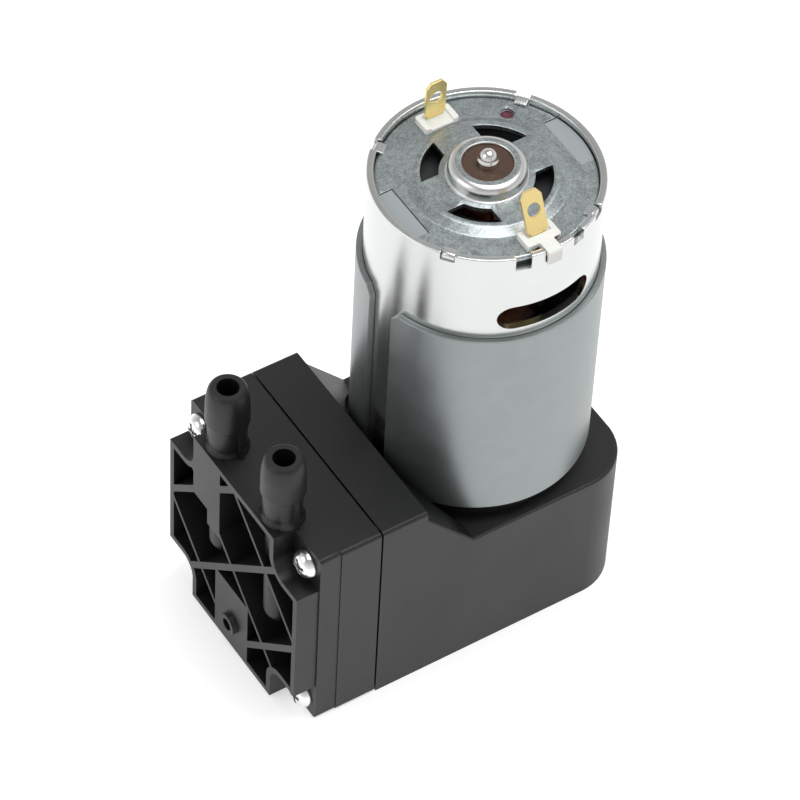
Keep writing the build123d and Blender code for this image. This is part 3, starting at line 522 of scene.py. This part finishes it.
def bevelled(mesh, size, segments=2, angle=35.0):
    """The mesh with its sharp edges rounded."""
    result = apply_modifier(mesh, "BEVEL", width=size, segments=segments, limit_method="ANGLE",
                            angle_limit=math.radians(angle), use_clamp_overlap=True)
    shade(result, 40.0)
    return apply_modifier(result, "WEIGHTED_NORMAL", keep_sharp=True, weight=100)


def cut(mesh, cutters, operation="DIFFERENCE"):
    """The mesh without the cutters' volumes, or with them for a union."""
    tool = in_scene("cutter", cutters)
    result = apply_modifier(mesh, "BOOLEAN", operation=operation, solver="EXACT", object=tool,
                            use_self=True)
    bpy.data.objects.remove(tool)
    return result


def prism(shape, outline, start, end, matrix=Matrix.Identity(4)):
    """Adds a prism to a bmesh: a flat outline of (x, y) run from start to end along Z, then placed."""
    low = [shape.verts.new(matrix @ Vector((x, y, start))) for x, y in outline]
    high = [shape.verts.new(matrix @ Vector((x, y, end))) for x, y in outline]
    shape.faces.new(reversed(low))
    shape.faces.new(high)
    for index in range(len(outline)):
        following = (index + 1) % len(outline)
        shape.faces.new((low[index], low[following], high[following], high[index]))


def prism_mesh(name, outline, start, end, matrix):
    """A mesh of one prism."""
    shape = bmesh.new()
    prism(shape, outline, start, end, matrix)
    return mesh_of(shape, name)


def arc(centre, radius, start, end, steps):
    """Points of an arc about a centre between two angles in degrees."""
    points = []
    for step in range(steps + 1):
        angle = math.radians(start + (end - start) * step / steps)
        points.append((centre[0] + radius * math.cos(angle), centre[1] + radius * math.sin(angle)))
    return points


def frame_copy(node, corner_angle=1.0):
    """A welded copy of a frame node's mesh with its flat faces joined."""
    shape = bmesh.new()
    shape.from_mesh(frame["nodes"][node].data)
    bmesh.ops.remove_doubles(shape, verts=shape.verts, dist=2e-6)
    bmesh.ops.dissolve_limit(shape, angle_limit=math.radians(corner_angle), verts=shape.verts,
                             edges=shape.edges)
    mesh = bpy.data.meshes.new(node)
    shape.to_mesh(mesh)
    shape.free()
    return mesh


# Geometry Nodes

class Recipe(Nodes):
    """A Geometry Nodes tree under construction, with named sizes as its inputs."""

    def __init__(self, name, **sizes):
        super().__init__(bpy.data.node_groups.new(name, "GeometryNodeTree"))
        sockets = self.tree.interface
        sockets.new_socket("Geometry", in_out="OUTPUT", socket_type="NodeSocketGeometry")
        sockets.new_socket("Geometry", in_out="INPUT", socket_type="NodeSocketGeometry")
        self.keys = {}
        kinds = {int: "NodeSocketInt", float: "NodeSocketFloat", bpy.types.Object: "NodeSocketObject",
                 bpy.types.Material: "NodeSocketMaterial"}
        for label, kind in sizes.items():
            made = sockets.new_socket(label.replace("_", " "), in_out="INPUT", socket_type=kinds[kind])
            self.keys[label] = made.identifier
        self.inputs = self.tree.nodes.new("NodeGroupInput")
        self.base = Signal(self, self.inputs.outputs[0])

    def size(self, label):
        return Signal(self, self.inputs.outputs[label.replace("_", " ")])

    def close(self, geometry):
        """Ends the tree in Realize Instances and Set Material."""
        real = self.node("GeometryNodeRealizeInstances", None, {0: geometry})
        painted = self.node("GeometryNodeSetMaterial", None, {0: real, "Material": self.size("finish")})
        self.fill(self.tree.nodes.new("NodeGroupOutput").inputs[0], painted)
        return self

    def make(self, mesh, smooth_angle=30.0, **values):
        """Runs the tree over a base mesh with these sizes and returns a plain mesh."""
        passing = in_scene("passing", mesh)
        modifier = passing.modifiers.new("Recipe", "NODES")
        modifier.node_group = self.tree
        for label, value in values.items():
            modifier[self.keys[label]] = value
        result = evaluated(passing)
        bpy.data.objects.remove(passing)
        shade(result, smooth_angle)
        return result


def loop_mesh(points):
    """A closed wire in the XY plane."""
    mesh = bpy.data.meshes.new("loop")
    edges = [(index, (index + 1) % len(points)) for index in range(len(points))]
    mesh.from_pydata([(x, y, 0.0) for x, y in points], edges, [])
    return mesh


def turning_recipe():
    """Turns a closed outline of (radius, height) about Z."""
    recipe = Recipe("turned piece", segments=int, core_radius=float, finish=bpy.types.Material)
    outline = recipe.node("GeometryNodeMeshToCurve", None, {0: recipe.base})
    circle = recipe.node("GeometryNodeCurvePrimitiveCircle", None, {
        "Resolution": recipe.size("segments"), "Radius": recipe.size("core_radius")})
    swept = recipe.node("GeometryNodeCurveToMesh", None, {"Curve": circle, "Profile Curve": outline})
    return recipe.close(recipe.node("GeometryNodeMergeByDistance", None, {0: swept, "Distance": 1e-7}))


RECIPES = {}


def recipe_by(maker):
    """The recipe that a function makes, made once and then kept."""
    if maker not in RECIPES:
        RECIPES[maker] = maker()
    return RECIPES[maker]


def turned(points, finish, segments=None, smooth_angle=30.0):
    """A plain mesh turned about Z from (radius, height) points, in metres."""
    recipe = recipe_by(turning_recipe)
    core = 1e-6
    outline = loop_mesh([(radius - core, -height) for radius, height in points])
    mesh = recipe.make(outline, smooth_angle, segments=segments or settings().motor.segments,
                       core_radius=core, finish=MATERIALS[finish])
    shape = bmesh.new()
    shape.from_mesh(mesh)
    return mesh_of(shape, "turned", smooth_angle)


def pattern_recipe():
    """Sets copies of a piece on every point of the base, all turned the same way."""
    recipe = Recipe("piece on points", piece=bpy.types.Object, turn=float, finish=bpy.types.Material)
    shape = recipe.node("GeometryNodeObjectInfo", {"transform_space": "ORIGINAL"},
                        {"Object": recipe.size("piece")}, "Geometry")
    turn = recipe.node("ShaderNodeCombineXYZ", None, {"Y": recipe.size("turn")})
    points = recipe.node("GeometryNodeMeshToPoints", None, {0: recipe.base})
    placed = recipe.node("GeometryNodeInstanceOnPoints", None, {
        "Points": points, "Instance": shape, "Rotation": turn})
    return recipe.close(placed)


def on_points(template, places, turn, finish):
    """A plain mesh with a copy of the template mesh at each place, turned about Y."""
    recipe = recipe_by(pattern_recipe)
    passing = in_scene("template", template)
    points = bpy.data.meshes.new("places")
    points.from_pydata(places, [], [])
    mesh = recipe.make(points, piece=passing, turn=turn, finish=MATERIALS[finish])
    bpy.data.objects.remove(passing)
    return mesh


# Motor pieces

def can_outline(motor):
    """Outline of the can as (radius, height): boss, drawn edge, wall and rolled rim."""
    outer, inner = motor.can_radius, motor.can_radius - motor.can_wall
    boss = width("front_bearing", 1) / 2 + motor.can_wall
    boss_height, boss_floor = 4.5 * MM, 2.5 * MM
    low, mouth = motor.face - boss_height, boss - boss_floor
    edge, soft = motor.can_edge, 0.22 * MM
    points = [(mouth, low), (boss, low), (boss, motor.face)]
    points += arc((outer - edge, motor.face + edge), edge, -90, 0, 8)
    points += arc((outer - soft, motor.rim_top - soft), soft, 0, 90, 3)
    points += arc((inner + soft, motor.rim_top - soft), soft, 90, 180, 3)
    points += arc((inner - edge / 2, motor.face + motor.can_wall + edge / 2), edge / 2, 0, -90, 4)
    points += [(boss - motor.can_wall, motor.face + motor.can_wall),
               (boss - motor.can_wall, low + motor.can_wall), (mouth, low + motor.can_wall)]
    return points


def slot_outline(length, height, steps=10):
    """A slot with round ends, along X."""
    radius = height / 2
    half = length / 2 - radius
    return arc((half, 0), radius, -90, 90, steps) + arc((-half, 0), radius, 90, 270, steps)


def at_angle(degrees):
    return Matrix.Rotation(math.radians(degrees), 4, "Z")


def box_outline(x_range, y_range):
    return [(x_range[0], y_range[0]), (x_range[1], y_range[0]), (x_range[1], y_range[1]),
            (x_range[0], y_range[1])]


CRIMPS = (38.5, 130.0, -142.0, -56.0)  # degrees from +X
CRIMP_NOTCH = (2.3, 0.35)  # width, and depth below the end plate's rim, in mm
# Notches by the near terminal: degrees from +X, then width and depth as above
LIP_NOTCHES = ((-105.4, 2.45, 1.5), (-74.0, 2.2, 0.9), (-90.0, 2.7, 1.2))


def can_cutters(motor):
    """Volumes of the vents and of the notches in the rim."""
    shape = bmesh.new()
    middle = Matrix.Translation((0, 0, motor.rim_top - motor.vent_drop))
    prism(shape, slot_outline(motor.vent_length, motor.vent_height), -2 * motor.can_radius,
          2 * motor.can_radius, middle @ UPRIGHT)
    for angle, span, depth in [(angle, *CRIMP_NOTCH) for angle in CRIMPS] + list(LIP_NOTCHES):
        outline = box_outline((motor.can_radius - 3 * PAST, motor.can_radius + PAST),
                              (-span / 2 * MM, span / 2 * MM))
        prism(shape, outline, plate_level(motor) - depth * MM, motor.rim_top + PAST, at_angle(angle))
    return mesh_of(shape, "can_cutters")


def crimp_mesh(motor):
    """Four tongues of the can wall bent in over the end plate, each with a rounded fold."""
    shape = bmesh.new()
    level = plate_level(motor)
    inner, outside = motor.can_radius - motor.can_wall, motor.can_radius - 0.30 * MM
    tip, root = inner - 1.0 * MM, level - 1.0 * MM
    seat, tip_top = level + 0.05 * MM, level + 0.45 * MM
    fold, half = 0.65 * MM, 1.0 * MM
    outline = [(tip, seat), (inner, seat), (inner, root), (outside, root)]
    outline += arc((outside - fold, level), fold, 0, 90, 4) + [(tip, tip_top)]
    for angle in CRIMPS:
        prism(shape, outline, -half, half, at_angle(angle) @ UPRIGHT)
    return bevelled(mesh_of(shape, "crimps"), 0.12 * MM)


def joined(*meshes):
    """One mesh from several."""
    shape = bmesh.new()
    for mesh in meshes:
        shape.from_mesh(mesh)
    result = bpy.data.meshes.new("joined")
    shape.to_mesh(result)
    shape.free()
    return result


class PUMP_OT_can(bpy.types.Operator):
    """Make the motor can with its vents, notches and crimped tongues"""
    bl_idname = "pump.can"
    bl_label = "Motor Can"

    def execute(self, context):
        motor = settings().motor
        shell = turned(can_outline(motor), "can_steel")
        shell = bevelled(cut(shell, can_cutters(motor)), 0.10 * MM, angle=40.0)
        piece = new_piece("can_shell", joined(shell, crimp_mesh(motor)), "can_steel", ["motor_can"])
        shade(piece.data, 40.0)
        return {"FINISHED"}


def ring_mesh(motor, inner, outer, low, high):
    """Sheet ring about Z, open at one side, with clipped corners."""
    half_gap = motor.ring_gap / 2 / outer
    steps = motor.segments
    start, end = motor.ring_gap_angle + half_gap, motor.ring_gap_angle + 2 * math.pi - half_gap
    clip = motor.ring_corner
    turn = clip / outer
    angles = [start, start + turn] + [start + turn + (end - start - 2 * turn) * step / steps
                                      for step in range(1, steps)] + [end - turn, end]
    shape = bmesh.new()
    columns = []
    for angle in angles:
        trim = clip if angle in (angles[0], angles[-1]) else 0.0
        column = []
        for radius, height in ((inner, low + trim), (outer, low + trim), (outer, high - trim),
                               (inner, high - trim)):
            column.append(shape.verts.new((radius * math.cos(angle), radius * math.sin(angle), height)))
        columns.append(column)
    for first, second in zip(columns, columns[1:]):
        for index in range(4):
            following = (index + 1) % 4
            shape.faces.new((first[index], second[index], second[following], first[following]))
    shape.faces.new(columns[0])
    shape.faces.new(reversed(columns[-1]))
    return mesh_of(shape, "ring")


class PUMP_OT_ring(bpy.types.Operator):
    """Make the open flux ring round the can"""
    bl_idname = "pump.ring"
    bl_label = "Flux Ring"

    def execute(self, context):
        motor = settings().motor
        low, high = reach("flux_ring", 2)
        outer = width("flux_ring", 1) / 2
        mesh = ring_mesh(motor, motor.can_radius + 0.02 * MM, outer, low, high)
        new_piece("flux_wrap", bevelled(mesh, 0.16 * MM, segments=3), "ring_steel", ["flux_ring"])
        return {"FINISHED"}


def plate_outline(motor):
    """Outline of the end plate as (radius, height): flat rim, raised centre, rounded bearing boss."""
    edge, corner, skin = motor.can_radius - motor.can_wall - 0.02 * MM, 0.5 * MM, 0.75 * MM
    top = plate_level(motor)
    raised = top + PLATE_RISE
    boss_top = raised + 2.5 * MM
    boss, shoulder, mouth = 6.0 * MM, 4.73 * MM, 3.92 * MM
    round_over, chamfer = boss - shoulder, 0.12 * MM
    foot, fillet, step = boss + 0.32 * MM, 0.28 * MM, 0.14 * MM
    slope_out, slope_low, slope_high, slope_in = 12.5 * MM, 12.1 * MM, 11.1 * MM, 10.6 * MM
    under_low, under_high, cup_depth = 11.6 * MM, 10.4 * MM, 1.9 * MM
    points = [(edge, top - skin)]
    points += arc((edge - corner, top - corner), corner, 0, 90, 4)
    points += [(slope_out, top), (slope_low, top + 0.08 * MM), (slope_high, raised - chamfer),
               (slope_in, raised), (foot, raised), (boss + fillet, raised + step)]
    points += arc((boss + fillet, raised + step + fillet), fillet, -90, -180, 4)
    points += arc((boss - round_over, boss_top - round_over), round_over, 0, 84, 8)
    points += [(shoulder, boss_top), (mouth + chamfer, boss_top), (mouth, boss_top - chamfer)]
    points += [(mouth, raised - cup_depth), (boss - 1.0 * MM, raised - skin - 0.6 * MM),
               (boss - 0.2 * MM, raised - skin), (under_high, raised - skin), (under_low, top - skin)]
    return points


def plate_cutters(motor):
    """Volumes of the arc windows, the flat windows, the terminal openings and the dimple."""
    shape = bmesh.new()
    top = plate_level(motor)
    low, high = top - 2 * PAST, top + PAST
    outer, inner, web = 9.97 * MM, 7.2 * MM, 6.85 * MM
    wide, narrow = (math.degrees(math.asin(web / 2 / radius)) for radius in (outer, inner))
    for quarter in range(4):
        outline = arc((0, 0), outer, wide, 90 - wide, 12) + arc((0, 0), inner, 90 - narrow, narrow, 8)
        prism(shape, outline, top - 3 * PAST, top + 3 * PAST, at_angle(90 * quarter))
    window_inset, window_half = 4.5 * MM, 5.1 * MM
    opening, opening_half = (-2.8 * MM, 1.8 * MM), 0.9 * MM
    for side in (-1, 1):
        x_range = sorted((side * (motor.can_radius - window_inset), side * (motor.can_radius + PAST)))
        prism(shape, box_outline(x_range, (-window_half, window_half)), low, high)
        y = side * (motor.can_radius - TERMINAL_INSET)
        prism(shape, box_outline(opening, (y - opening_half, y + opening_half)), low, high)
    dimple_radius, dimple_depth = 1.1 * MM, 0.35 * MM
    dimple = arc((motor.can_radius - DIMPLE_INSET, 0), dimple_radius, 0, 345, 23)
    prism(shape, dimple, top - dimple_depth, high, at_angle(DIMPLE_ANGLE))
    return mesh_of(shape, "plate_cutters")


class PUMP_OT_end_plate(bpy.types.Operator):
    """Make the stamped end plate with its windows and bearing boss"""
    bl_idname = "pump.end_plate"
    bl_label = "End Plate"

    def execute(self, context):
        motor = settings().motor
        plate = turned(plate_outline(motor), "galvanised_steel", smooth_angle=40.0)
        plate = bevelled(cut(plate, plate_cutters(motor)), 0.10 * MM, angle=42.0)
        piece = new_piece("end_plate", plate, "galvanised_steel", ["motor_end_plate"])
        piece.data.materials.append(MATERIALS["boss_steel"])
        boss_foot, boss_reach, level = plate_level(motor) + PLATE_RISE + 0.05 * MM, 7.0 * MM, 0.996
        # The brighter boss finish goes only on boss faces that do not face straight up, a painted highlight
        # by facing; the flat tops keep the plate's darker finish.
        for face in piece.data.polygons:
            on_boss = face.center.z > boss_foot and face.center.xy.length < boss_reach
            if on_boss and face.normal.z <= level:
                face.material_index = 1
        return {"FINISHED"}


def blade_mesh(side, lean):
    """Brass blade: a narrow tail below the plate, shoulders, clipped corners, a hole; bent at its foot."""
    motor = settings().motor
    low, top = reach("terminal_far", 2)
    bend = plate_level(motor) + 1.1 * MM
    half, neck, thick = 1.8 * MM, 1.35 * MM, 0.25 * MM
    shoulder_low, shoulder_high, overlap = 0.2 * MM, 0.5 * MM, 0.1 * MM
    clip_wide, clip_high = 0.8 * MM, 1.1 * MM
    hole_drop, hole_radius = 3.2 * MM, 1.1 * MM
    tall = top - bend
    right = [(neck, 0.0), (neck, shoulder_low), (half, shoulder_high), (half, tall - clip_high),
             (half - clip_wide, tall)]
    stand = Matrix.Translation((TERMINAL_SHIFT, side * (motor.can_radius - TERMINAL_INSET), bend))
    leaning = stand @ Matrix.Rotation(math.radians(side * lean), 4, "X") @ UPRIGHT
    blade = prism_mesh("blade", right + [(-x, y) for x, y in reversed(right)], -thick, thick, leaning)
    hole = prism_mesh("hole", arc((0, tall - hole_drop), hole_radius, 0, 350, 35), -PAST, PAST, leaning)
    tail = prism_mesh("tail", box_outline((-neck, neck), (low - bend, overlap)), -thick, thick,
                      stand @ UPRIGHT)
    return bevelled(joined(cut(blade, hole), tail), 0.07 * MM)


def tab_mesh(motor, root, low, high, turn):
    """Tab of a nylon foot, hooked over the rim of the can, with a rounded outer edge."""
    rim, tip, seat = motor.can_radius + 0.05 * MM, motor.rim_top - 2.4 * MM, low + 0.1 * MM
    thick, edge, half = 0.55 * MM, 0.5 * MM, 1.2 * MM
    hook = [(root, high), (root, seat), (rim, seat), (rim, tip), (rim + thick, tip)]
    hook += arc((rim + thick - edge, high - edge), edge, 0, 90, 4)
    across = turn @ Matrix(((0, 0, 1, 0), (1, 0, 0, 0), (0, 1, 0, 0), (0, 0, 0, 1)))
    return prism_mesh("tab", hook, -half, half, across)


def foot_mesh(side, inner, outer):
    """Nylon foot between two distances from the axis; the near one has a tab over the can's rim."""
    motor = settings().motor
    low = plate_level(motor)
    high = low + 1.2 * MM
    half, corner = 2.95 * MM, 0.45 * MM
    outline = []
    for x, y, start in ((half - corner, outer - corner, 0), (corner - half, outer - corner, 90),
                        (corner - half, inner + corner, 180), (half - corner, inner + corner, 270)):
        outline += arc((TERMINAL_SHIFT + x, y), corner, start, start + 90, 4)
    turn, shift = at_angle(0), TERMINAL_SHIFT
    if side < 0:
        turn, shift = at_angle(180), -TERMINAL_SHIFT
        outline = [(-x, y) for x, y in reversed(outline)]
    foot = prism_mesh("foot", outline, low, high, turn)
    if side < 0:
        foot = cut(foot, tab_mesh(motor, outer - 1.0 * MM, low, high, turn), "UNION")
    relief_half, relief_depth = 2.0 * MM, 0.45 * MM
    relief_end = motor.can_radius - TERMINAL_INSET + 0.4 * MM
    outline = box_outline((shift - relief_half, shift + relief_half), (inner - PAST, relief_end))
    relief = prism_mesh("relief", outline, high - relief_depth, high + PAST, turn)
    return bevelled(cut(foot, relief), 0.12 * MM, segments=3)


# Name, side along Y, lean of the blade in degrees, and from where to where its foot goes, in mm
TERMINALS = (("far", 1, 0.0, 11.6, 15.0), ("near", -1, 26.5, 12.6, 15.95))


class PUMP_OT_terminals(bpy.types.Operator):
    """Make the brass terminals and their nylon feet"""
    bl_idname = "pump.terminals"
    bl_label = "Terminals"

    def execute(self, context):
        for name, side, lean, inner, outer in TERMINALS:
            new_piece(f"blade_{name}", blade_mesh(side, lean), "brass", [f"terminal_{name}"])
            new_piece(f"foot_{name}", foot_mesh(side, inner * MM, outer * MM), "nylon_white",
                      [f"terminal_insulator_{name}"])
        return {"FINISHED"}


def slot_of(node):
    """The material slot that the record gives a node."""
    return next(part["material_slot"] for part in frame["record"]["subparts"] if part["node"] == node)


class PUMP_OT_shaft(bpy.types.Operator):
    """Make the ground motor shaft with its rounded end"""
    bl_idname = "pump.shaft"
    bl_label = "Motor Shaft"

    def execute(self, context):
        low, high = reach("motor_shaft", 2)
        radius, edge, dome_share = width("motor_shaft", 1) / 2, 0.4 * MM, 0.84
        dome = radius * dome_share
        outline = [(0.0, low), (radius - edge, low), (radius, low + edge), (radius, high - dome - edge)]
        outline += arc((0.0, high - dome), dome, 0, 90, 12)
        slot = slot_of("motor_shaft")
        new_piece("shaft", turned(outline, slot, segments=64), slot, ["motor_shaft"], body="rotor")
        return {"FINISHED"}


# Head pieces

def pan_screw(head):
    """A pan head screw along Z, head up at height 0, with a cross recess."""
    radius, height = head.screw_head_radius, head.screw_head_height
    shank, length = 1.3 * MM, width("head_screws", 0) - height
    crown, edge = radius * 0.42, 0.1 * MM
    point_radius, point_length = 0.5 * MM, 1.4 * MM
    outline = [(0.0, height), (crown, height - 0.03 * MM)]
    outline += arc((crown, height * 0.28), height * 0.70, 80, 20, 6)
    outline += [(radius, height * 0.30), (radius, edge), (radius - edge, 0.0), (shank, 0.0),
                (shank, -length + point_length), (point_radius, -length), (0.0, -length)]
    body = turned(outline, "screw_steel", segments=48)
    shape = bmesh.new()
    recess_half, recess_wide, recess_depth, recess_turn = 1.45 * MM, 0.3 * MM, 1.1 * MM, 20
    bar = box_outline((-recess_half, recess_half), (-recess_wide, recess_wide))
    for quarter in range(2):
        prism(shape, bar, height - recess_depth, height + PAST, at_angle(90 * quarter + recess_turn))
    return bevelled(cut(body, mesh_of(shape, "recess")), 0.05 * MM)


class PUMP_OT_screws(bpy.types.Operator):
    """Make the four bright screws of the head"""
    bl_idname = "pump.screws"
    bl_label = "Head Screws"

    def execute(self, context):
        head = settings().head
        seat = reach("head_screws", 0)[0] + head.screw_head_height
        low, high = reach("head_screws", 2)
        middle = (low + high) / 2
        places = [(seat, side * head.screw_pitch_y / 2, middle + level * head.screw_pitch_z / 2)
                  for side in (-1, 1) for level in (-1, 1)]
        mesh = on_points(pan_screw(head), places, math.radians(-90), "screw_steel")
        new_piece("pan_screws", mesh, "screw_steel", ["head_screws"])
        return {"FINISHED"}


BARB_HEIGHT = 13.4 * MM  # flange to the tip
BARB_SKIN = (2.0 * MM, 3.7 * MM)  # between these distances from its axis lies a barb's outside
# Up a barb: height in the solids, height in the scene, both in mm, and the factor on the width
BARB_STEPS = ((1.5, 1.5, 1.049), (4.7, 5.9, 1.049), (5.0, 6.15, 1.03), (7.4, 6.8, 1.0),
              (9.2, 9.1, 1.0), (13.1, 13.1, 1.024))


def reshape_barbs(mesh):
    """Gives both barbs a longer, straighter neck and an even land, going by the steps."""
    base = reach("head_cover", 2)[1] - BARB_HEIGHT
    for mount in frame["record"]["mounts"]:
        if mount["kind"] != "pin":
            continue
        x, y = mount["pos_m"][:2]
        for vertex in mesh.vertices:
            away = Vector((vertex.co.x - x, vertex.co.y - y))
            height = (vertex.co.z - base) / MM
            if not BARB_SKIN[0] < away.length < BARB_SKIN[1]:
                continue
            for (low, new_low, wide_low), (high, new_high, wide_high) in zip(BARB_STEPS, BARB_STEPS[1:]):
                if low <= height <= high:
                    share = (height - low) / (high - low)
                    away *= wide_low + (wide_high - wide_low) * share
                    lifted = base + (new_low + (new_high - new_low) * share) * MM
                    vertex.co = (x + away.x, y + away.y, lifted)
                    break


# Node of a moulding, name of its piece, and the round on its edges in mm
MOULDINGS = (("pump_body", "crankcase", 0.25), ("valve_body", "valve_plate", 0.22),
             ("head_cover", "ribbed_cover", 0.10), ("bottom_cover", "floor_cover", 0.12))


class PUMP_OT_mouldings(bpy.types.Operator):
    """Soften the edges of the crankcase, valve body, head cover and bottom cover"""
    bl_idname = "pump.mouldings"
    bl_label = "Mouldings"

    def execute(self, context):
        for node, name, size in MOULDINGS:
            mesh = frame_copy(node)
            if node == "head_cover":
                reshape_barbs(mesh)
            new_piece(name, bevelled(mesh, size * MM), "black_plastic", [node])
        return {"FINISHED"}


class PUMP_OT_finishes(bpy.types.Operator):
    """Give each frame node that stays in view its finish"""
    bl_idname = "pump.finishes"
    bl_label = "Finishes"

    def execute(self, context):
        make_materials()
        for part in frame["record"]["subparts"]:
            node = frame["nodes"][part["node"]]
            if not node.material_slots:
                node.data.materials.append(None)
            for slot in node.material_slots:
                slot.material = MATERIALS[part["material_slot"]]
        return {"FINISHED"}


# Stage

def camera_matrix(place, azimuth, elevation, roll):
    """Placement of a camera that looks back along a compass direction, with a roll."""
    turn, lift, lean = map(math.radians, (azimuth, elevation, roll))
    back = Vector((math.sin(turn) * math.cos(lift), -math.cos(turn) * math.cos(lift), math.sin(lift)))
    side = Vector((math.cos(turn), math.sin(turn), 0.0))
    up = back.cross(side)
    right = side * math.cos(lean) + up * math.sin(lean)
    top = up * math.cos(lean) - side * math.sin(lean)
    matrix = Matrix((right, top, back)).transposed().to_4x4()
    matrix.translation = place
    return matrix


CAMERA_PLACE = (-0.282327, -0.384755, 0.581)
CAMERA_TURN = (-34.960, 48.950, 3.298)  # azimuth, elevation and roll, in degrees
CAMERA_LENS, CAMERA_SENSOR = 209.27, 36.0  # mm
LAMP_TARGET = (0.0, 0.0, 0.045)
# Name, place, side of the square in metres, and power in watts
LAMPS = (("key", (0.16, -0.06, 0.80), 0.58, 3.6), ("fill", (-0.60, 0.12, 0.50), 0.45, 1.0))


def soft_lamp(name, place, side, power):
    """A square area lamp that points at the motor."""
    data = bpy.data.lights.new(name, "AREA")
    data.shape = "RECTANGLE"
    data.size = data.size_y = side
    data.energy = power
    lamp = in_scene(name, data)
    lamp.location = place
    lamp.rotation_euler = (Vector(LAMP_TARGET) - Vector(place)).to_track_quat("-Z", "Y").to_euler()


def floor_material():
    """White floor that keeps shadows and shows as pure white to the camera and in reflections."""
    finish = Finish("pale_floor")
    paths = finish.tree.nodes.new("ShaderNodeLightPath")
    camera = Signal(finish, paths.outputs["Is Camera Ray"])
    glossy = Signal(finish, paths.outputs["Is Glossy Ray"])
    clear = Signal(finish, paths.outputs["Is Transmission Ray"])
    finish.set(Base_Color=(0.80, 0.80, 0.80), Roughness=0.9, Specular_IOR_Level=0.0)
    seen = finish.blend(camera + glossy + clear, (0.0, 0.0, 0.0), (0.50, 0.50, 0.50))
    finish.set(Emission_Color=seen, Emission_Strength=1.0)
    return finish.material


def make_world():
    """Even white room: full white to the camera, softer from above as a light and in reflections."""
    world = bpy.data.worlds.new("studio")
    bpy.context.scene.world = world
    world.use_nodes = True
    room = Nodes(world.node_tree)
    direction = room.node("ShaderNodeTexCoord", output="Generated")
    height = room.node("ShaderNodeSeparateXYZ", None, {0: direction}, "Z")
    level = room.node("ShaderNodeMapRange", None, {
        "Value": height, "From Min": 0.15, "From Max": 0.85, "To Min": 0.85, "To Max": 0.34})
    camera = room.node("ShaderNodeLightPath", output="Is Camera Ray")
    strength = room.node("ShaderNodeMix", {"data_type": "FLOAT"}, {0: camera, 2: level, 3: 1.0})
    background = room.tree.nodes["Background"]
    room.fill(background.inputs["Color"], (1.0, 1.0, 1.0))
    room.fill(background.inputs["Strength"], strength)


class PUMP_OT_stage(bpy.types.Operator):
    """Set the pale floor, the soft lamps, the white room and the camera"""
    bl_idname = "pump.stage"
    bl_label = "Stage"

    def execute(self, context):
        scene = context.scene
        scene.view_settings.view_transform = "Standard"
        make_world()
        span = (-3.0, 3.0)
        mesh = bpy.data.meshes.new("floor")
        mesh.from_pydata([(x, y, 0.0) for x, y in box_outline(span, span)], [], [(0, 1, 2, 3)])
        mesh.materials.append(floor_material())
        in_scene("floor", mesh)
        for lamp in LAMPS:
            soft_lamp(*lamp)
        data = bpy.data.cameras.new("camera")
        data.sensor_width = CAMERA_SENSOR
        data.lens = CAMERA_LENS
        data.clip_start = 0.01
        scene.camera = in_scene("camera", data)
        scene.camera.matrix_world = camera_matrix(CAMERA_PLACE, *CAMERA_TURN)
        return {"FINISHED"}


STEPS = (PUMP_OT_finishes, PUMP_OT_mouldings, PUMP_OT_can, PUMP_OT_ring, PUMP_OT_end_plate,
         PUMP_OT_terminals, PUMP_OT_shaft, PUMP_OT_screws, PUMP_OT_stage)


class PUMP_PT_panel(bpy.types.Panel):
    """Lists the steps that dress the pump"""
    bl_idname = "PUMP_PT_panel"
    bl_label = "Suction Pump"
    bl_space_type = "VIEW_3D"
    bl_region_type = "UI"
    bl_category = "Pump"

    def draw(self, context):
        for step in STEPS:
            self.layout.operator(step.bl_idname)


CLASSES = (MotorSizes, HeadSizes, FinishColours, PumpSettings, *STEPS, PUMP_PT_panel)


def register():
    for item in CLASSES:
        bpy.utils.register_class(item)
    bpy.types.Scene.pump_settings = bpy.props.PointerProperty(type=PumpSettings)


def unregister():
    del bpy.types.Scene.pump_settings
    for item in reversed(CLASSES):
        bpy.utils.unregister_class(item)


def main():
    register()
    for step in STEPS:
        group, name = step.bl_idname.split(".")
        getattr(getattr(bpy.ops, group), name)()


if __name__ == "__main__":
    main()
